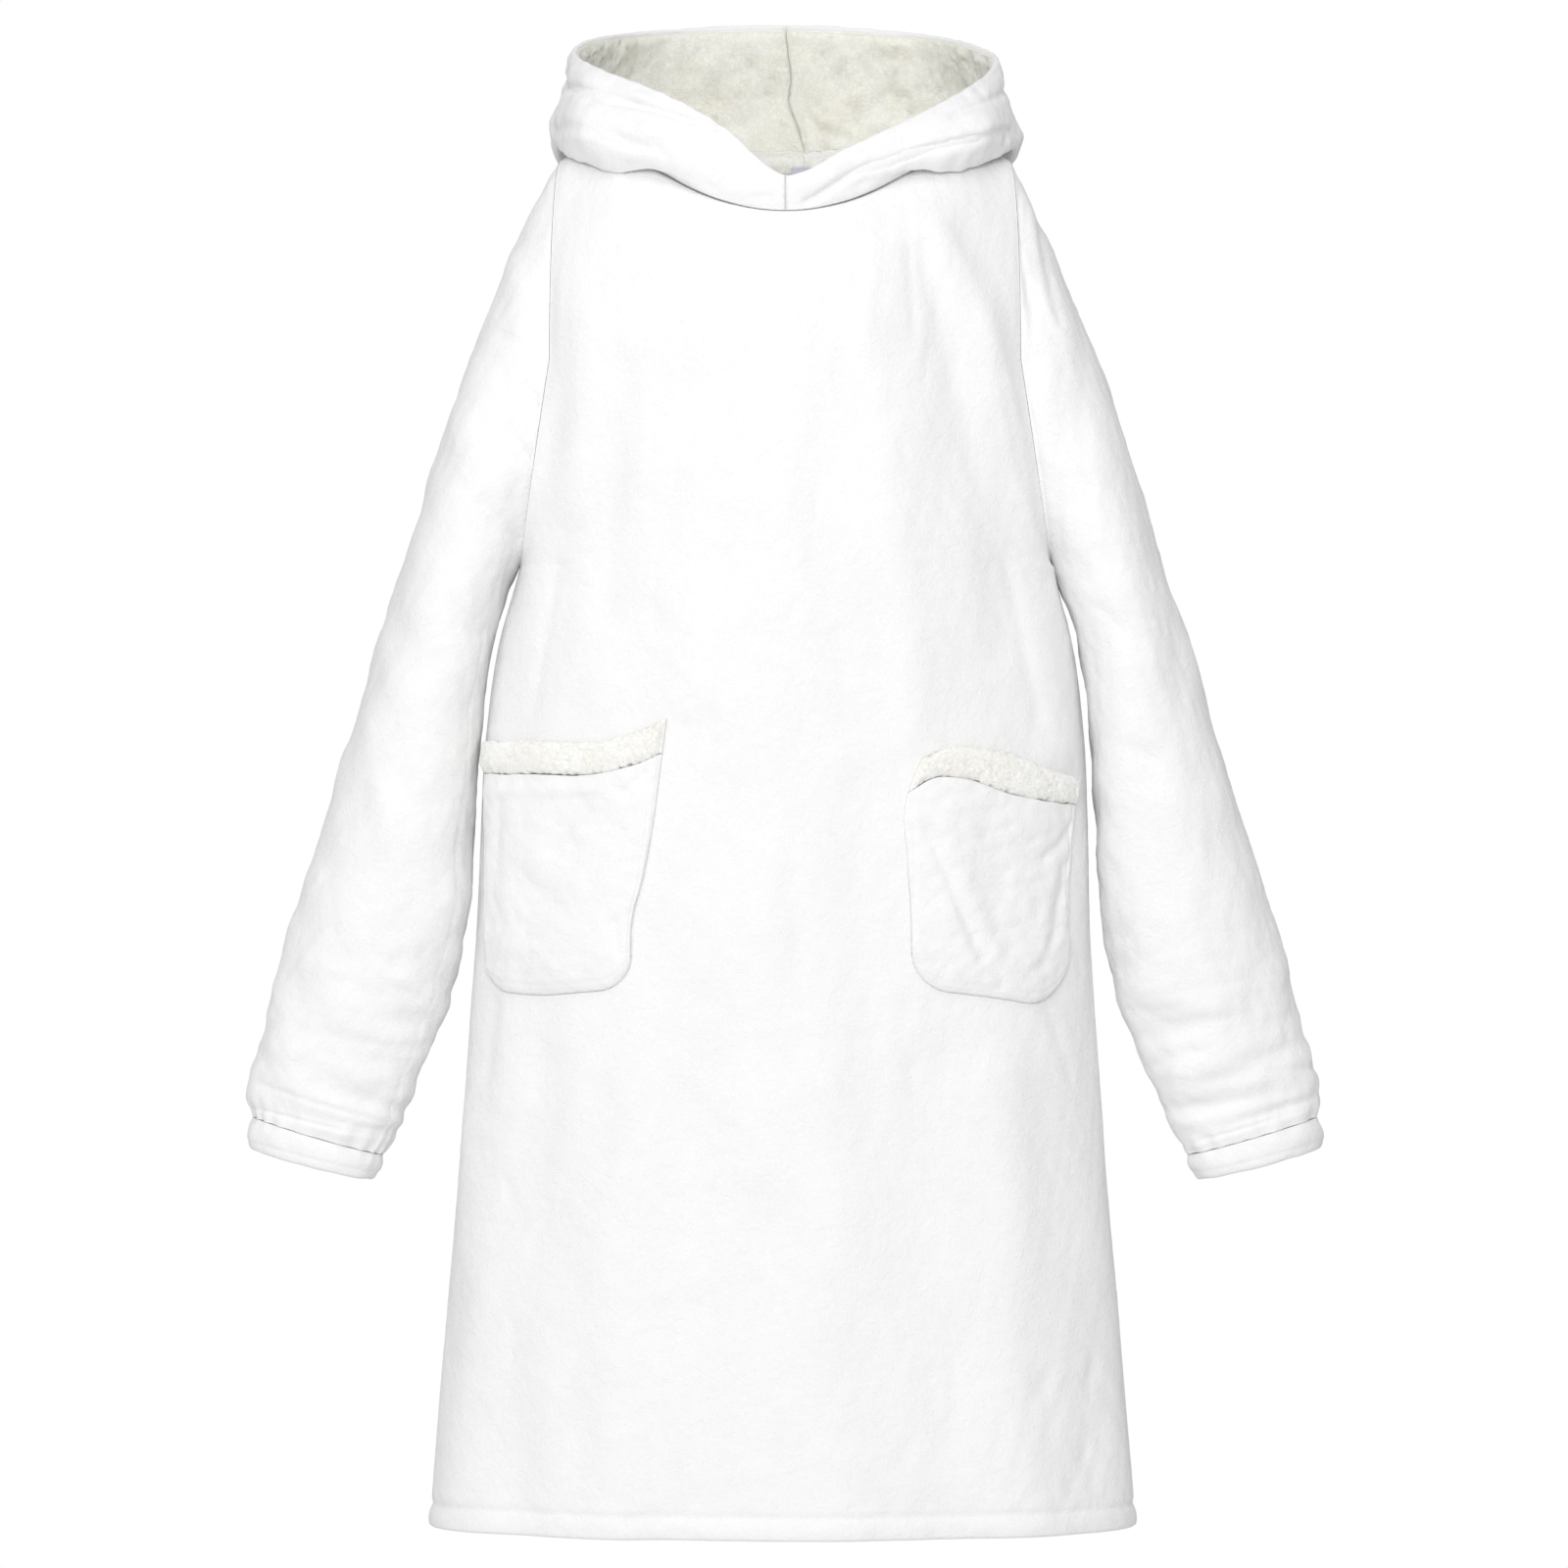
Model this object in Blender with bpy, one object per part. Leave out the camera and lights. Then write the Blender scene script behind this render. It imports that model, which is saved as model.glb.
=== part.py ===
"""A long, loose wearable blanket with a hood that lies open on the shoulders.

The garment keeps the hollow form it has when it is worn. The front faces -Y and the wearer's
left side, which is on the right in a front view, is at +X. The origin is between the shoulders.
Tables and sizes are in millimetres, and solid() turns them into metres.
"""

import math

import bmesh
import bpy
import numpy as np

MM = 0.001
SEAM_GAP = 0.3
BODY_THICK = 5.0
SLEEVE_THICK = 5.0
CUFF_THICK = 6.0
HOOD_THICK = 3.0
LINING_THICK = 4.0
LINING_GAP = 0.6
POCKET_THICK = 5.0
TRIM_THICK = 8.0
LABEL_THICK = 1.0
POCKET_GAP = 0.9
TRIM_GAP = 0.6

# The body's level sections: height, half width at the side seam, depth of the front and of the back.
HEM_Z = -1052.0
BODY_SECTIONS = (
    (HEM_Z, 279.5, 115, 115),
    (-990, 274.5, 116, 115),
    (-870, 264.5, 118, 114),
    (-750, 254.5, 120, 113),
    (-625, 245.5, 122, 112),
    (-590, 243, 122, 112),
    (-550, 241, 122, 111),
    (-500, 239, 122, 110),
    (-430, 235, 123, 110),
    (-360, 225, 124, 109),
    (-300, 208, 124, 108),
    (-140, 196, 120, 104),
)
FRONT_HEIGHTS = (-1052, -1044, -1034, -1020, -975, -920, -860, -800, -740, -680, -625, -575, -525)
FRONT_HEIGHTS += (-480, -440, -400, -360, -330)
BACK_HEIGHTS = (-1052, -1044, -1034, -1010, -920, -830, -740, -650, -560, -480, -400, -340)

# Away from its side edges a panel has this half width at a height, so that the cloth runs smoothly
# past the foot of the armhole.
FULL_WIDTHS = ((-450, 236.5), (-380, 226), (-300, 213), (-220, 209.5), (-140, 208.5))
EDGE_PINCH_POWER = 4

# The armhole is an oval that leans outward towards the underarm.
ARM_Z = -140.0
ARM_HALF_HEIGHT = 160.0
ARM_HALF_DEPTH = 60.0
ARM_LOWER_EDGE = ((-300, 208), (-223, 196), (-140, 183))
QUARTER_STEPS = 5
ARM_ANGLES = np.radians(np.linspace(-90, 90, 2 * QUARTER_STEPS + 1))

# The neckline and the shoulder seams.
NECK_HALF_WIDTH = 125.0
NECK_SIDE_Z = 42.0
NECK_FRONT = (95.0, -28.0)
NECK_BACK = (85.0, 31.0)
SHOULDER_TIP = (176.0, 20.0)
NECK_COLUMNS = 9
SHOULDER_COLUMNS = 3
COLUMNS = NECK_COLUMNS + SHOULDER_COLUMNS
NECK_RISE_ANGLE = 55.0

# The turned hem: the stitched groove and the puffed roll below it.
HEM_GROOVE_Z = -1034.0
HEM_GROOVE = 1.5
HEM_ROLL_Z = -1044.0
HEM_ROLL = 1.5
HEM_BAND = 6.0

# Folds of the front: start x and z, end x and z, half width, height. A trough's height is negative.
FRONT_FOLDS = (
    (118, -45, 154, -105, 14, 6),
    (154, -105, 184, -200, 15, 7),
    (184, -200, 205, -350, 15, 5),
    (108, -60, 122, -130, 12, -5),
    (122, -130, 160, -262, 13, -5),
    (60, -120, 88, -300, 16, 3),
    (88, -300, 96, -430, 18, 3),
    (30, -180, 44, -420, 20, -3),
    (-150, -110, -168, -250, 14, 4),
    (-128, -150, -140, -330, 15, -3),
    (-50, -140, -70, -400, 22, 3),
    (-10, -420, -22, -760, 24, 3),
    (60, -480, 72, -800, 24, -3),
    (28, -700, 40, -1052, 26, 4),
    (-62, -640, -80, -1052, 26, -4),
    (-120, -700, -136, -1052, 24, 4),
    (110, -690, 128, -1052, 26, -4),
    (168, -700, 186, -1052, 24, 5),
    (-190, -690, -212, -1052, 22, -4),
)
BACK_FOLDS = (
    (-150, -80, -172, -230, 15, 6),
    (-120, -90, -140, -300, 14, -4),
    (146, -90, 168, -260, 15, 6),
    (112, -100, 130, -330, 15, -4),
    (-40, -160, -58, -480, 24, 4),
    (24, -200, 40, -560, 24, -4),
    (88, -330, 96, -760, 26, 4),
    (-100, -420, -120, -880, 26, -4),
    (-20, -560, -30, -1052, 28, 5),
    (50, -700, 62, -1052, 26, -4),
    (132, -640, 150, -1052, 26, 5),
    (-160, -700, -178, -1052, 24, 5),
    (194, -760, 212, -1052, 22, -4),
)

# The sleeve's sections: station, outer x and z, inner x and z, half depth.
SLEEVE_SECTIONS = (
    (0, 176, 20, 208, -300, 60),
    (1, 207, -38, 215, -312, 61),
    (2, 233, -100, 221, -330, 62),
    (3, 258, -162, 228, -352, 63),
    (4, 278, -223, 232.5, -378, 63),
    (5, 296, -285, 237, -410, 63),
    (6, 316, -346, 240.5, -447, 62),
    (7, 335, -408, 242.5, -487, 61),
    (8, 354, -470, 244.5, -527, 59),
    (9, 373, -531, 248, -574, 56),
    (10, 392, -593, 259, -632, 53),
    (11, 405, -640, 276, -675, 48),
    (12, 416, -685, 292, -716, 43),
    (13, 420, -713, 302, -742, 38),
    (14, 418, -731, 316, -761, 35),
)
ARM_BLEND_STATIONS = 4.0
WRINKLED_FROM = 9.5
SLEEVE_STATIONS = (*np.arange(0, WRINKLED_FROM, 1.0), *np.arange(WRINKLED_FROM, 14.01, 0.3))
CUFF_SECTIONS = (
    (0, 418, -731, 316, -761, 35),
    (1, 422, -744, 318, -772, 36),
    (2, 420, -757, 325, -781, 34),
)

# Troughs around the forearms: station, half width in stations, depth, angle of the deepest place
# (-90 is the side towards the body, 0 the front), its spread, and the slant in stations per 90 degrees.
LEFT_TROUGHS = (
    (9.9, 0.24, 5, -62, 48, -0.3),
    (10.7, 0.22, 4, -70, 40, -0.2),
    (11.5, 0.24, 5, -55, 52, -0.2),
    (12.3, 0.22, 5, -50, 55, -0.1),
    (13.1, 0.2, 4, -64, 60, 0.1),
    (11.1, 0.26, 4, 150, 60, 0.2),
    (12.6, 0.24, 4, 190, 60, -0.2),
)
RIGHT_TROUGHS = (
    (9.8, 0.24, 4, -70, 44, -0.2),
    (10.9, 0.26, 5, -30, 62, 0.2),
    (11.8, 0.22, 4, 20, 55, -0.4),
    (12.5, 0.26, 6, -20, 66, 0.2),
    (13.1, 0.2, 4, 40, 55, -0.2),
    (11.3, 0.26, 4, 160, 60, -0.2),
    (12.7, 0.24, 4, 200, 60, 0.2),
)

# The hood, front to back. Each row gives a place's angle round the neck and the x, y, z of one level.
HOOD_LOW = (
    (0, 0, -96.5, -24),
    (22, 48, -92, -20),
    (46, 99, -77, 0),
    (67, 134, -57, 18),
    (78, 147, -34, 36),
    (90, 152, -4, 50),
    (120, 140, 66, 26),
    (150, 76, 112, -18),
    (180, 0, 128, -28),
)
HOOD_TURN = (
    (0, 0, -98.5, -20),
    (22, 49, -96, -14),
    (46, 106, -85, -3),
    (67, 149, -69, 8),
    (78, 165, -46, 16),
    (90, 176, -8, 32),
    (120, 164, 84, 0),
    (150, 96, 146, -60),
    (180, 0, 156, -86),
)
HOOD_BELLY = (
    (0, 0, -99.5, -16),
    (22, 50, -99, -1),
    (46, 110, -90, 15),
    (67, 161, -68, 34),
    (90, 181, 1, 46),
    (120, 178, 86, 30),
    (150, 124, 178, -24),
    (180, 0, 202, -52),
)
HOOD_UPPER = (
    (0, 0, -99.5, -11),
    (22, 49, -98, 13),
    (46, 104, -82, 36),
    (67, 157, -54, 58),
    (90, 173.5, 10, 74),
    (120, 170, 92, 79),
    (150, 132, 184, 66),
    (180, 0, 224, 50),
)
HOOD_RIM = (
    (0, 0, -98, -6.5),
    (22, 47.5, -91, 30),
    (46, 96.5, -71, 57),
    (67, 141, -40, 80),
    (90, 166, 15, 101),
    (120, 158, 98, 124),
    (150, 104, 180, 143),
    (180, 0, 205, 151),
)
HOOD_LEVELS = (HOOD_LOW, HOOD_TURN, HOOD_BELLY, HOOD_UPPER, HOOD_RIM)
HOOD_ROWS = 10
HOOD_SMOOTHING = 5
# The rim stands higher on the wearer's right: angle round the neck, height above the mean.
RIM_LEAN = ((0, 0), (22, 8), (46, 10), (67, 7), (90, 4), (120, 3), (150, 1), (180, 0))
LINING_SHORT = 0.1

# The pockets: height, column of the inner edge and column of the outer edge, counted from the centre.
POCKET_EDGES = {
    "left": ((-640, 3.85, 9.5), (-600, 3.85, 9.9), (-500, 3.3, 10.6), (-420, 2.95, 11)),
    "right": ((-640, 3.4, 8.3), (-600, 3.15, 8.45), (-500, 3.25, 9.4), (-442, 3.9, 9.6)),
}
# From the inner edge to the outer edge: share of the way, bottom, lower edge of the trim, top.
POCKET_HEIGHTS = {
    "left": (
        (0, -606, -446, -420),
        (0.1, -627, -453, -427),
        (0.3, -632, -461, -436),
        (0.75, -636, -462, -437),
        (0.92, -632, -462, -437),
        (1, -618, -462, -437),
    ),
    "right": (
        (0, -608, -478, -452),
        (0.1, -629, -469, -444),
        (0.3, -636, -466, -443),
        (0.65, -641, -480, -454),
        (0.9, -638, -483, -461),
        (1, -622, -490, -468),
    ),
}
POCKET_PANEL_COLUMNS = (4, 5, 6, 7, 8)
POCKET_OUTER_COLUMNS = 5
POCKET_ROWS = 7
TRIM_ROWS = 3

LABEL_X = (6.0, 22.0)
LABEL_HANG = (3.0, 30.0)

# Colours, roughness and metallic share of the finishes.
FINISHES = {
    "flannel": ((0.93, 0.93, 0.92, 1), 0.95, 0.0),
    "sherpa": ((0.92, 0.91, 0.86, 1), 1.0, 0.0),
    "label": ((0.88, 0.9, 0.92, 1), 0.6, 0.0),
}


def clear_scene():
    for thing in list(bpy.data.objects):
        bpy.data.objects.remove(thing)


def material(node, finish):
    """A piece's own material."""
    colour, roughness, metallic = FINISHES[finish]
    made = bpy.data.materials.new(node + "_" + finish)
    made.use_nodes = True
    shader = made.node_tree.nodes["Principled BSDF"]
    shader.inputs["Base Color"].default_value = colour
    shader.inputs["Roughness"].default_value = roughness
    shader.inputs["Metallic"].default_value = metallic
    return made


def curve(rows, at):
    """Smooth values between the rows of a table, whose first column rises."""
    table = np.array(rows, float)
    key, value = table[:, 0], table[:, 1:]
    at = np.clip(np.asarray(at, float), key[0], key[-1])
    slope = np.gradient(value, key, axis=0)
    i = np.clip(np.searchsorted(key, at, side="right") - 1, 0, len(key) - 2)
    span = (key[i + 1] - key[i])[..., None]
    t = (at - key[i])[..., None] / span
    start = value[i] * (2 * t**3 - 3 * t**2 + 1) + slope[i] * span * (t**3 - 2 * t**2 + t)
    end = value[i + 1] * (3 * t**2 - 2 * t**3) + slope[i + 1] * span * (t**3 - t**2)
    return start + end


def unit(vectors):
    return vectors / np.maximum(np.linalg.norm(vectors, axis=-1, keepdims=True), 1e-9)


def normals(points, inside, closed=False):
    """The outward directions of a grid of points around a place that is inside the garment."""
    along = np.gradient(points, axis=0)
    if closed:
        across = (np.roll(points, -1, axis=1) - np.roll(points, 1, axis=1)) / 2
    else:
        across = np.gradient(points, axis=1)
    found = unit(np.cross(across, along))
    if (found * (points - np.array(inside, float))).sum() < 0:
        found = -found
    return found


def solid(node, outer, inner, finish, closed=False):
    """One closed wall between two grids of points. A closed one runs round like a tube."""
    rows, columns = outer.shape[:2]
    mesh = bmesh.new()
    out = [[mesh.verts.new(p * MM) for p in row] for row in outer]
    back = [[mesh.verts.new(p * MM) for p in row] for row in inner]
    last = columns if closed else columns - 1
    for r in range(rows - 1):
        for c in range(last):
            d = (c + 1) % columns
            for grid in (out, back):
                mesh.faces.new((grid[r][c], grid[r][d], grid[r + 1][d]))
                mesh.faces.new((grid[r][c], grid[r + 1][d], grid[r + 1][c]))
    for r in (0, rows - 1):
        for c in range(last):
            d = (c + 1) % columns
            mesh.faces.new((out[r][c], out[r][d], back[r][d]))
            mesh.faces.new((out[r][c], back[r][d], back[r][c]))
    if not closed:
        for c in (0, columns - 1):
            for r in range(rows - 1):
                mesh.faces.new((out[r][c], out[r + 1][c], back[r + 1][c]))
                mesh.faces.new((out[r][c], back[r + 1][c], back[r][c]))
    bmesh.ops.recalc_face_normals(mesh, faces=mesh.faces[:])
    data = bpy.data.meshes.new(node)
    mesh.to_mesh(data)
    mesh.free()
    data.materials.append(material(node, finish))
    data.shade_smooth()
    made = bpy.data.objects.new(node, data)
    bpy.context.collection.objects.link(made)
    return made


def folds(rows, x, z):
    """Height of the soft ridges and troughs of a table at the places x and z."""
    total = np.zeros_like(x)
    for x0, z0, x1, z1, width, height in rows:
        run = np.array([x1 - x0, z1 - z0], float)
        share = ((x - x0) * run[0] + (z - z0) * run[1]) / (run @ run)
        share = np.clip(share, 0, 1)
        away = np.hypot(x - x0 - share * run[0], z - z0 - share * run[1])
        total += height * np.exp(-((away / width) ** 2))
    return total


def hem_relief(z):
    roll = HEM_ROLL * np.exp(-(((z - HEM_ROLL_Z) / HEM_BAND) ** 2))
    groove = HEM_GROOVE * np.exp(-(((z - HEM_GROOVE_Z) / HEM_BAND) ** 2))
    return roll - groove


def arm_edge(angle):
    """The armhole's x, depth and height at an angle, -90 degrees at the underarm, 90 at the tip."""
    z = ARM_Z + ARM_HALF_HEIGHT * np.sin(angle)
    lower = curve(ARM_LOWER_EDGE, z)[..., 0]
    middle = ARM_LOWER_EDGE[-1][1]
    upper = SHOULDER_TIP[0] + (middle - SHOULDER_TIP[0]) * np.cos(angle)
    x = np.where(angle < 0, lower, upper)
    return x, ARM_HALF_DEPTH * np.cos(angle), z


def neckline(angle, facing):
    """A point of the neckline, from 0 degrees at the centre of the front or back to 90 at the side."""
    depth, low = NECK_FRONT if facing < 0 else NECK_BACK
    x = NECK_HALF_WIDTH * np.sin(angle)
    y = facing * depth * np.cos(angle)
    z = low + (NECK_SIDE_Z - low) * (1 - np.cos(angle) + np.sin(angle) ** 2) / 2
    return np.array([x, y, z])


def top_edge(share, facing):
    """A point of the neckline or, further out, of the shoulder seam."""
    neck_share = NECK_COLUMNS / COLUMNS
    if share <= neck_share:
        return neckline(math.pi / 2 * share / neck_share, facing)
    along = (share - neck_share) / (1 - neck_share)
    x = NECK_HALF_WIDTH + (SHOULDER_TIP[0] - NECK_HALF_WIDTH) * along
    z = NECK_SIDE_Z + (SHOULDER_TIP[1] - NECK_SIDE_Z) * along
    return np.array([x, 0, z])


def section_row(z, edge_x, edge_y, facing):
    """One level row of a panel from the centre to its edge."""
    _, front, back = curve(BODY_SECTIONS, z)
    depth = front if facing < 0 else back
    last = math.acos(edge_y / depth)
    angle = np.linspace(0, last, COLUMNS + 1)
    full = edge_x / math.sin(last)
    if z > FULL_WIDTHS[0][0]:
        full = curve(FULL_WIDTHS, z)[0]
    pinch = (edge_x / (full * math.sin(last)) - 1) * (angle / last) ** EDGE_PINCH_POWER
    x = full * np.sin(angle) * (1 + pinch)
    return np.stack([x, facing * depth * np.cos(angle), np.full_like(x, z)], axis=-1)


def half_panel(heights, facing):
    """The outer points of half a panel, hem to shoulder and centre to side."""
    rows = [section_row(z, curve(BODY_SECTIONS, z)[0], 0, facing) for z in heights]
    edge_x, edge_y, edge_z = arm_edge(ARM_ANGLES)
    for i in range(QUARTER_STEPS + 1):
        rows.append(section_row(edge_z[i], edge_x[i], edge_y[i], facing))
    base = rows[-1]
    shares = np.linspace(0, 1, COLUMNS + 1)
    tops = np.array([top_edge(share, facing) for share in shares])
    ends = np.radians(np.minimum(NECK_RISE_ANGLE + (90 - NECK_RISE_ANGLE) * shares * COLUMNS / NECK_COLUMNS, 90))
    for step in range(1, QUARTER_STEPS + 1):
        angle = ends * step / QUARTER_STEPS
        rise = (np.sin(angle) / np.sin(ends))[:, None]
        left = ((np.cos(angle) - np.cos(ends)) / (1 - np.cos(ends)))[:, None]
        row = tops + (base - tops) * left
        row[:, 2:] = base[:, 2:] + (tops - base)[:, 2:] * rise
        rows.append(row)
    return np.array(rows)


def edge_fade(rows, columns):
    """1 over a panel's middle, falling to 0 at its side edges and its top edge."""
    across = np.minimum(np.arange(columns), np.arange(columns)[::-1])
    up = np.arange(rows)[::-1]
    return np.minimum(across / 2, 1)[None, :] * np.minimum(up / 2, 1)[:, None]


def body_panel(node, heights, facing, rows_of_folds):
    """A whole panel. Returns its outer points, its inner points and its outward directions."""
    half = half_panel(heights, facing)
    mirrored = half[:, :0:-1] * (-1, 1, 1)
    points = np.concatenate([mirrored, half], axis=1)
    points[..., 1] += facing * SEAM_GAP / 2
    edge_rows = slice(len(heights), None)
    inside = (0, 0, ARM_Z)
    direction = normals(points, inside)
    level = points[..., 2] < ARM_Z - ARM_HALF_HEIGHT + 1
    direction[level] = unit(direction[level] * (1, 1, 0))
    height = folds(rows_of_folds, points[..., 0], points[..., 2]) * edge_fade(*points.shape[:2])
    height += hem_relief(points[..., 2])
    points = points + direction * height[..., None]
    points[:, [0, -1], 1] = facing * SEAM_GAP / 2
    points[edge_rows, 0, 1] = points[edge_rows, -1, 1] = facing * (arm_edge(ARM_ANGLES)[1] + SEAM_GAP / 2)
    points[edge_rows, 0, 0] += SEAM_GAP / 2
    points[edge_rows, -1, 0] -= SEAM_GAP / 2
    direction = normals(points, inside)
    direction[0] = unit(direction[0] * (1, 1, 0))
    direction[:, [0, -1]] = unit(direction[:, [0, -1]] * (1, 0, 1))
    seam = slice(NECK_COLUMNS + COLUMNS, None)
    direction[-1, seam] = unit(direction[-1, seam] * (1, 0, 1))
    other_seam = slice(0, SHOULDER_COLUMNS + 1)
    direction[-1, other_seam] = unit(direction[-1, other_seam] * (1, 0, 1))
    for edge, sign in ((0, -1), (-1, 1)):
        outward = sign * np.maximum(-np.sin(ARM_ANGLES), 0) ** 2
        away = np.stack([outward, facing * np.cos(ARM_ANGLES), np.sin(ARM_ANGLES)], axis=-1)
        direction[edge_rows, edge] = unit(away)
    inner = points - BODY_THICK * direction
    solid(node, points, inner, "flannel")
    return points, inner, direction


def sleeve_ring(section, angles):
    """A ring of points from a section's outer and inner points and half depth."""
    outer_x, outer_z, inner_x, inner_z, depth = section
    up = np.sin(angles)
    x = (outer_x + inner_x) / 2 + (outer_x - inner_x) / 2 * up
    z = (outer_z + inner_z) / 2 + (outer_z - inner_z) / 2 * up
    return np.stack([x, -depth * np.cos(angles), z], axis=-1)


def trough_depth(rows, stations, angles):
    total = np.zeros((len(stations), len(angles)))
    for station, width, depth, angle, spread, slant in rows:
        turn = (angles - math.radians(angle) + math.pi) % (2 * math.pi) - math.pi
        centre = station + slant * turn / (math.pi / 2)
        across = np.exp(-(((stations[:, None] - centre[None, :]) / width) ** 2))
        total += depth * across * np.exp(-((turn / math.radians(spread)) ** 2))[None, :]
    return total


def ring_axis(section):
    """The direction square to a section's plane, towards the hand."""
    outer_x, outer_z, inner_x, inner_z, _ = section
    return unit(np.array([outer_z - inner_z, 0, inner_x - outer_x], float)) * (1, 1, 1)


def sleeve(side, sign, troughs):
    """A sleeve and its cuff."""
    angles = np.radians(-90 + 360 / (4 * QUARTER_STEPS) * np.arange(4 * QUARTER_STEPS))
    stations = np.array(SLEEVE_STATIONS)
    sections = curve(SLEEVE_SECTIONS, stations)
    points = np.array([sleeve_ring(section, angles) for section in sections])
    turned = np.where(angles > math.pi / 2, math.pi - angles, angles)
    seam_x = arm_edge(turned)[0]
    fade = np.clip(1 - stations / ARM_BLEND_STATIONS, 0, 1)
    points[..., 0] += fade[:, None] * (seam_x - points[0, :, 0])[None, :]
    direction = normals_of_tube(points)
    points -= trough_depth(troughs, stations, angles)[..., None] * direction
    direction = normals_of_tube(points)
    direction[0] = unit(np.stack([0 * angles, -np.cos(angles), np.sin(angles)], axis=-1))
    axis = ring_axis(sections[-1])
    direction[-1] = unit(direction[-1] - (direction[-1] @ axis)[:, None] * axis)
    points[0, :, 0] += SEAM_GAP / 2
    mirror = np.array([sign, 1, 1])
    inner = points - SLEEVE_THICK * direction
    solid("sleeve_" + side, points * mirror, inner * mirror, "flannel", closed=True)

    cuff = np.array([sleeve_ring(row[1:], angles) for row in CUFF_SECTIONS]) + axis * SEAM_GAP
    direction = normals_of_tube(cuff)
    for ring in (0, -1):
        direction[ring] = unit(direction[ring] - (direction[ring] @ axis)[:, None] * axis)
    inner = cuff - CUFF_THICK * direction
    solid("cuff_" + side, cuff * mirror, inner * mirror, "flannel", closed=True)


def normals_of_tube(points):
    """Outward directions of rings of points, each ring measured from its own middle."""
    along = np.gradient(points, axis=0)
    across = (np.roll(points, -1, axis=1) - np.roll(points, 1, axis=1)) / 2
    found = unit(np.cross(across, along))
    outward = (found * (points - points.mean(axis=1, keepdims=True))).sum()
    return found if outward > 0 else -found


def mirrored_ends(level):
    """A level of the hood, run on past the centre line at both ends so that it crosses it square."""
    after, before = level[1], level[-2]
    first = (-after[0], -after[1], after[2], after[3])
    last = (360 - before[0], -before[1], before[2], before[3])
    return (first, *level, last)


def hood_points(sign):
    """The outer points of half the hood, seam to rim and front to back."""
    step = 90 / NECK_COLUMNS
    angles = np.arange(0, 180 + step / 2, step)
    seam = [
        neckline(math.radians(a), -1) if a <= 90 else neckline(math.radians(180 - a), 1) for a in angles
    ]
    levels = [np.array(seam) + (0, 0, SEAM_GAP)]
    levels += [curve(mirrored_ends(level), angles) for level in HOOD_LEVELS]
    lean = -sign * curve(RIM_LEAN, angles)[:, 0]
    levels[-1][:, 2] += lean
    levels[-2][:, 2] += lean / 2
    rows = np.linspace(0, len(levels) - 1, HOOD_ROWS)
    keyed = [(i, *level.ravel()) for i, level in enumerate(levels)]
    return curve(keyed, rows).reshape(HOOD_ROWS, len(angles), 3)


def hood(side, sign):
    """Half of the hood's outside and half of its lining."""
    points = hood_points(sign)
    points[:, [0, -1], 0] = SEAM_GAP / 2
    direction = normals(points, (0, 60, 40))
    for _ in range(HOOD_SMOOTHING):
        direction[1:-1] = unit(direction[:-2] + 2 * direction[1:-1] + direction[2:])
        direction[:, 1:-1] = unit(direction[:, :-2] + 2 * direction[:, 1:-1] + direction[:, 2:])
    direction[:, [0, -1]] = unit(direction[:, [0, -1]] * (0, 1, 1))
    inner = points - HOOD_THICK * direction
    mirror = np.array([sign, 1, 1])
    solid("hood_" + side, points * mirror, inner * mirror, "flannel")
    lining = inner - LINING_GAP * direction
    rim = lining[-1] + (lining[-2] - lining[-1]) * LINING_SHORT
    lining = np.concatenate([lining[:-1], rim[None]])
    shown = lining - LINING_THICK * direction
    solid("hood_lining_" + side, lining * mirror, shown * mirror, "sherpa")


def on_panel(points, direction, column, z):
    """The place on the front panel's facets at a column, counted from its edge, and a height."""
    low = int(min(math.floor(column), points.shape[1] - 2))
    share = column - low
    place = points[:, low] * (1 - share) + points[:, low + 1] * share
    outward = direction[:, low] * (1 - share) + direction[:, low + 1] * share
    found = [np.interp(z, place[:, 2], place[:, k]) for k in range(3)]
    facing = [np.interp(z, place[:, 2], outward[:, k]) for k in range(3)]
    return np.array(found), unit(np.array(facing))


def pocket(side, sign, points, direction):
    """A patch pocket and the trim along its opening, laid on the front panel's points."""
    heights = POCKET_HEIGHTS[side]
    bands = (
        ("pocket_", 1, 2, TRIM_GAP, POCKET_ROWS, POCKET_THICK, "flannel"),
        ("pocket_trim_", 2, 3, 0, TRIM_ROWS, TRIM_THICK, "sherpa"),
    )
    for name, low, high, gap, rows, thick, finish in bands:
        under = []
        outward = []
        for up in np.linspace(0, 1, rows):
            middle = curve(heights, 0.5)
            level = middle[low - 1] + (middle[high - 1] - middle[low - 1]) * up
            first, last = curve(POCKET_EDGES[side], level)
            inner_last = POCKET_PANEL_COLUMNS[-1]
            steps = np.linspace(inner_last, last, POCKET_OUTER_COLUMNS + 1)[1:]
            places = []
            for column in (first, *POCKET_PANEL_COLUMNS, *steps):
                values = curve(heights, (column - first) / (last - first))
                z = values[low - 1] + (values[high - 1] - gap - values[low - 1]) * up
                places.append(on_panel(points, direction, COLUMNS + sign * column, z))
            under.append([place for place, _ in places])
            outward.append([facing for _, facing in places])
        under = np.array(under) + POCKET_GAP * np.array(outward)
        solid(name + side, under + thick * np.array(outward), under, finish)


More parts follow.
